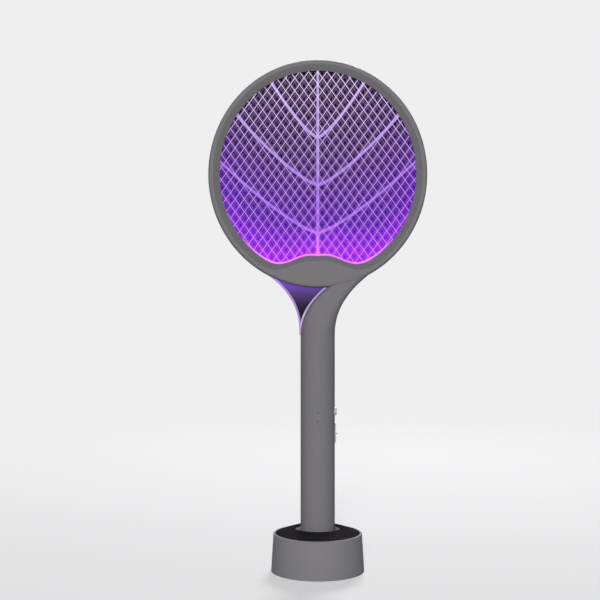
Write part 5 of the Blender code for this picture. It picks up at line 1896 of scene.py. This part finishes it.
class Studio:
    """Floor, backdrop, light and camera."""

    FLOOR = (0.62, 0.62, 0.63, 1.0)
    FLOOR_AS_LIGHT = (0.22, 0.22, 0.22, 1.0)
    FLOOR_ROUGHNESS = 0.9
    FLOOR_REACH = 14.0
    BEND_START = 1.2
    BEND_RADIUS = 0.6
    BEND_STEPS = 24
    WALL_TOP = 3.2
    FADE_START = 0.1
    FADE_END = 1.5
    FADE_LEAST = 0.55
    BACKGROUND = (0.86, 0.86, 0.87, 1.0)
    SURROUND_LIGHT = (0.95, 0.96, 1.0, 1.0)
    SURROUND_STRENGTH = 0.20
    LIGHTS = (
        SoftLight("key", (-0.30, -4.20, 1.30), 0.7, 128.0),
        SoftLight("back", (0.25, 1.50, 1.30), 0.6, 40.0),
    )
    CAMERA_PLACE = (-0.0165, -1.05, 0.2523)
    CAMERA_ANGLE = math.radians(29.87)
    # A Mix node has several sockets of one label, so its colour sockets go by number.
    MIX_FIRST, MIX_SECOND, MIX_RESULT = 6, 7, 2

    @staticmethod
    def seen_directly(tree: Tree) -> Socket:
        """1 for what the camera, a mirror or glass shows, 0 for diffuse light.

        Args:
            tree: The tree that the nodes go in.

        Returns:
            The value's socket.
        """
        path = tree.nodes.new("ShaderNodeLightPath").outputs
        mirrored = Groups.calculate(tree, "MAXIMUM", path["Is Glossy Ray"], path["Is Transmission Ray"])
        return Groups.calculate(tree, "MAXIMUM", path["Is Camera Ray"], mirrored)

    @staticmethod
    def mix(tree: Tree, share: Socket, first: bpy.types.Node, second: bpy.types.Node, output: str) -> None:
        """Mixes two shaders into the output of a tree.

        Args:
            tree: The tree.
            share: How much of the second one shows.
            first: The first shader.
            second: The second shader.
            output: Name of the output node.
        """
        node = tree.nodes.new("ShaderNodeMixShader")
        tree.links.new(share, node.inputs["Fac"])
        tree.links.new(first.outputs[0], node.inputs[1])
        tree.links.new(second.outputs[0], node.inputs[2])
        tree.links.new(node.outputs[0], tree.nodes[output].inputs["Surface"])

    def floor_material(self) -> bpy.types.Material:
        """The floor's material: it takes shadows, and fades into the background away from the object.

        The fade climbs smoothly with the distance from the origin, and is there only where it is seen.

        Returns:
            The material.
        """
        material = bpy.data.materials.new("pale_floor")
        material.use_nodes = True
        tree = material.node_tree
        link = tree.links.new
        shader = tree.nodes["Principled BSDF"]
        shader.inputs["Roughness"].default_value = self.FLOOR_ROUGHNESS
        seen = self.seen_directly(tree)
        tone = tree.nodes.new("ShaderNodeMix")
        tone.data_type = "RGBA"
        tone.inputs[self.MIX_FIRST].default_value = self.FLOOR_AS_LIGHT
        tone.inputs[self.MIX_SECOND].default_value = self.FLOOR
        link(seen, tone.inputs["Factor"])
        link(tone.outputs[self.MIX_RESULT], shader.inputs["Base Color"])
        light = tree.nodes.new("ShaderNodeEmission")
        light.inputs["Color"].default_value = self.BACKGROUND
        place = tree.nodes.new("ShaderNodeTexCoord")
        distance = tree.nodes.new("ShaderNodeVectorMath")
        distance.operation = "LENGTH"
        link(place.outputs["Object"], distance.inputs[0])
        far = tree.nodes.new("ShaderNodeMapRange")
        far.interpolation_type = "SMOOTHSTEP"
        set_inputs(far, {"From Min": self.FADE_START, "From Max": self.FADE_END, "To Min": self.FADE_LEAST})
        link(distance.outputs["Value"], far.inputs["Value"])
        share = Groups.calculate(tree, "MULTIPLY", far.outputs["Result"], seen)
        self.mix(tree, share, shader, light, "Material Output")
        return material

    def floor(self) -> None:
        """The pale floor that curves up into a backdrop: floor, quarter circle and wall, along X."""
        bend = np.linspace(0, np.pi / 2, self.BEND_STEPS)
        start, radius, reach = self.BEND_START, self.BEND_RADIUS, self.FLOOR_REACH
        y = np.concatenate([[-reach, 0.0], start + radius * np.sin(bend), [start + radius]])
        z = np.concatenate([[0.0, 0.0], radius - radius * np.cos(bend), [self.WALL_TOP]])
        x = np.array([-reach, reach])
        grid = np.stack(np.broadcast_arrays(x[None], y[:, None], z[:, None]), axis=-1)
        row = np.arange(len(y) - 1)
        faces = np.stack([row * 2, row * 2 + 1, row * 2 + 3, row * 2 + 2], axis=-1)
        mesh = bpy.data.meshes.new("floor")
        mesh.from_pydata(grid.reshape(-1, 3).tolist(), [], faces.tolist())
        mesh.shade_smooth()
        mesh.materials.append(self.floor_material())
        floor = new_object("floor", mesh)

    def world(self) -> None:
        """A pale surround where it is seen, and dimmer where it only lights."""
        world = bpy.data.worlds.new("surround")
        bpy.context.scene.world = world
        world.use_nodes = True
        tree = world.node_tree
        dim = tree.nodes["Background"]
        set_inputs(dim, {"Color": self.SURROUND_LIGHT, "Strength": self.SURROUND_STRENGTH})
        bright = tree.nodes.new("ShaderNodeBackground")
        bright.inputs["Color"].default_value = self.BACKGROUND
        self.mix(tree, self.seen_directly(tree), dim, bright, "World Output")

    def camera(self) -> None:
        """The camera: level, along +Y, a little left of the handle's axis."""
        data = bpy.data.cameras.new("camera")
        data.sensor_fit = "HORIZONTAL"
        data.angle = self.CAMERA_ANGLE
        camera = new_object("camera", data)
        camera.location = self.CAMERA_PLACE
        camera.rotation_euler = (math.pi / 2, 0, 0)
        bpy.context.scene.camera = camera

    def build(self) -> None:
        """Sets up the whole studio."""
        bpy.context.scene.view_settings.view_transform = "Standard"
        self.floor()
        self.world()
        for light in self.LIGHTS:
            light.build()
        self.camera()


def dress_nodes() -> None:
    """Gives every node that stays on show the finish of its record slot."""
    for row in frame["record"]["subparts"]:
        node = frame["nodes"][row["node"]]
        if node.hide_render:
            continue
        finish = CAD_FINISHES[Slot(row["material_slot"])]
        node.data.materials.clear()
        node.data.materials.append(finish.material())
        LOG.info("%s: kept, finish %s", node.name, finish.name)


def middle_height(node: str) -> float:
    """Height of the middle of a node's box."""
    low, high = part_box(node)
    return float(low.z + high.z) / 2


def plain(box: Sequence[Sequence[float]]) -> list[list[float]]:
    """A box's corners as lists of numbers."""
    return [[round(float(value), SIZE_DIGITS) for value in corner] for corner in box]


def main() -> None:
    """Builds the studio and the object."""
    logging.basicConfig(level=logging.INFO, format="%(message)s")
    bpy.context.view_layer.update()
    Studio().build()
    head = Head(centre=middle_height("front_ring"))
    neck = Neck(head)
    button, slider = middle_height("zap_button"), middle_height("mode_slider")
    screws = (middle_height("handle_screw_lower"), middle_height("handle_screw_upper"))
    bottom = float(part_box("handle_front_shell")[0].z)
    Stand().build()
    head.build()
    LampWindow(neck).build()
    Handle(neck, bottom, button, slider, screws).build()
    Controls(button, slider).build()
    dress_nodes()


if __name__ == "__main__":
    main()
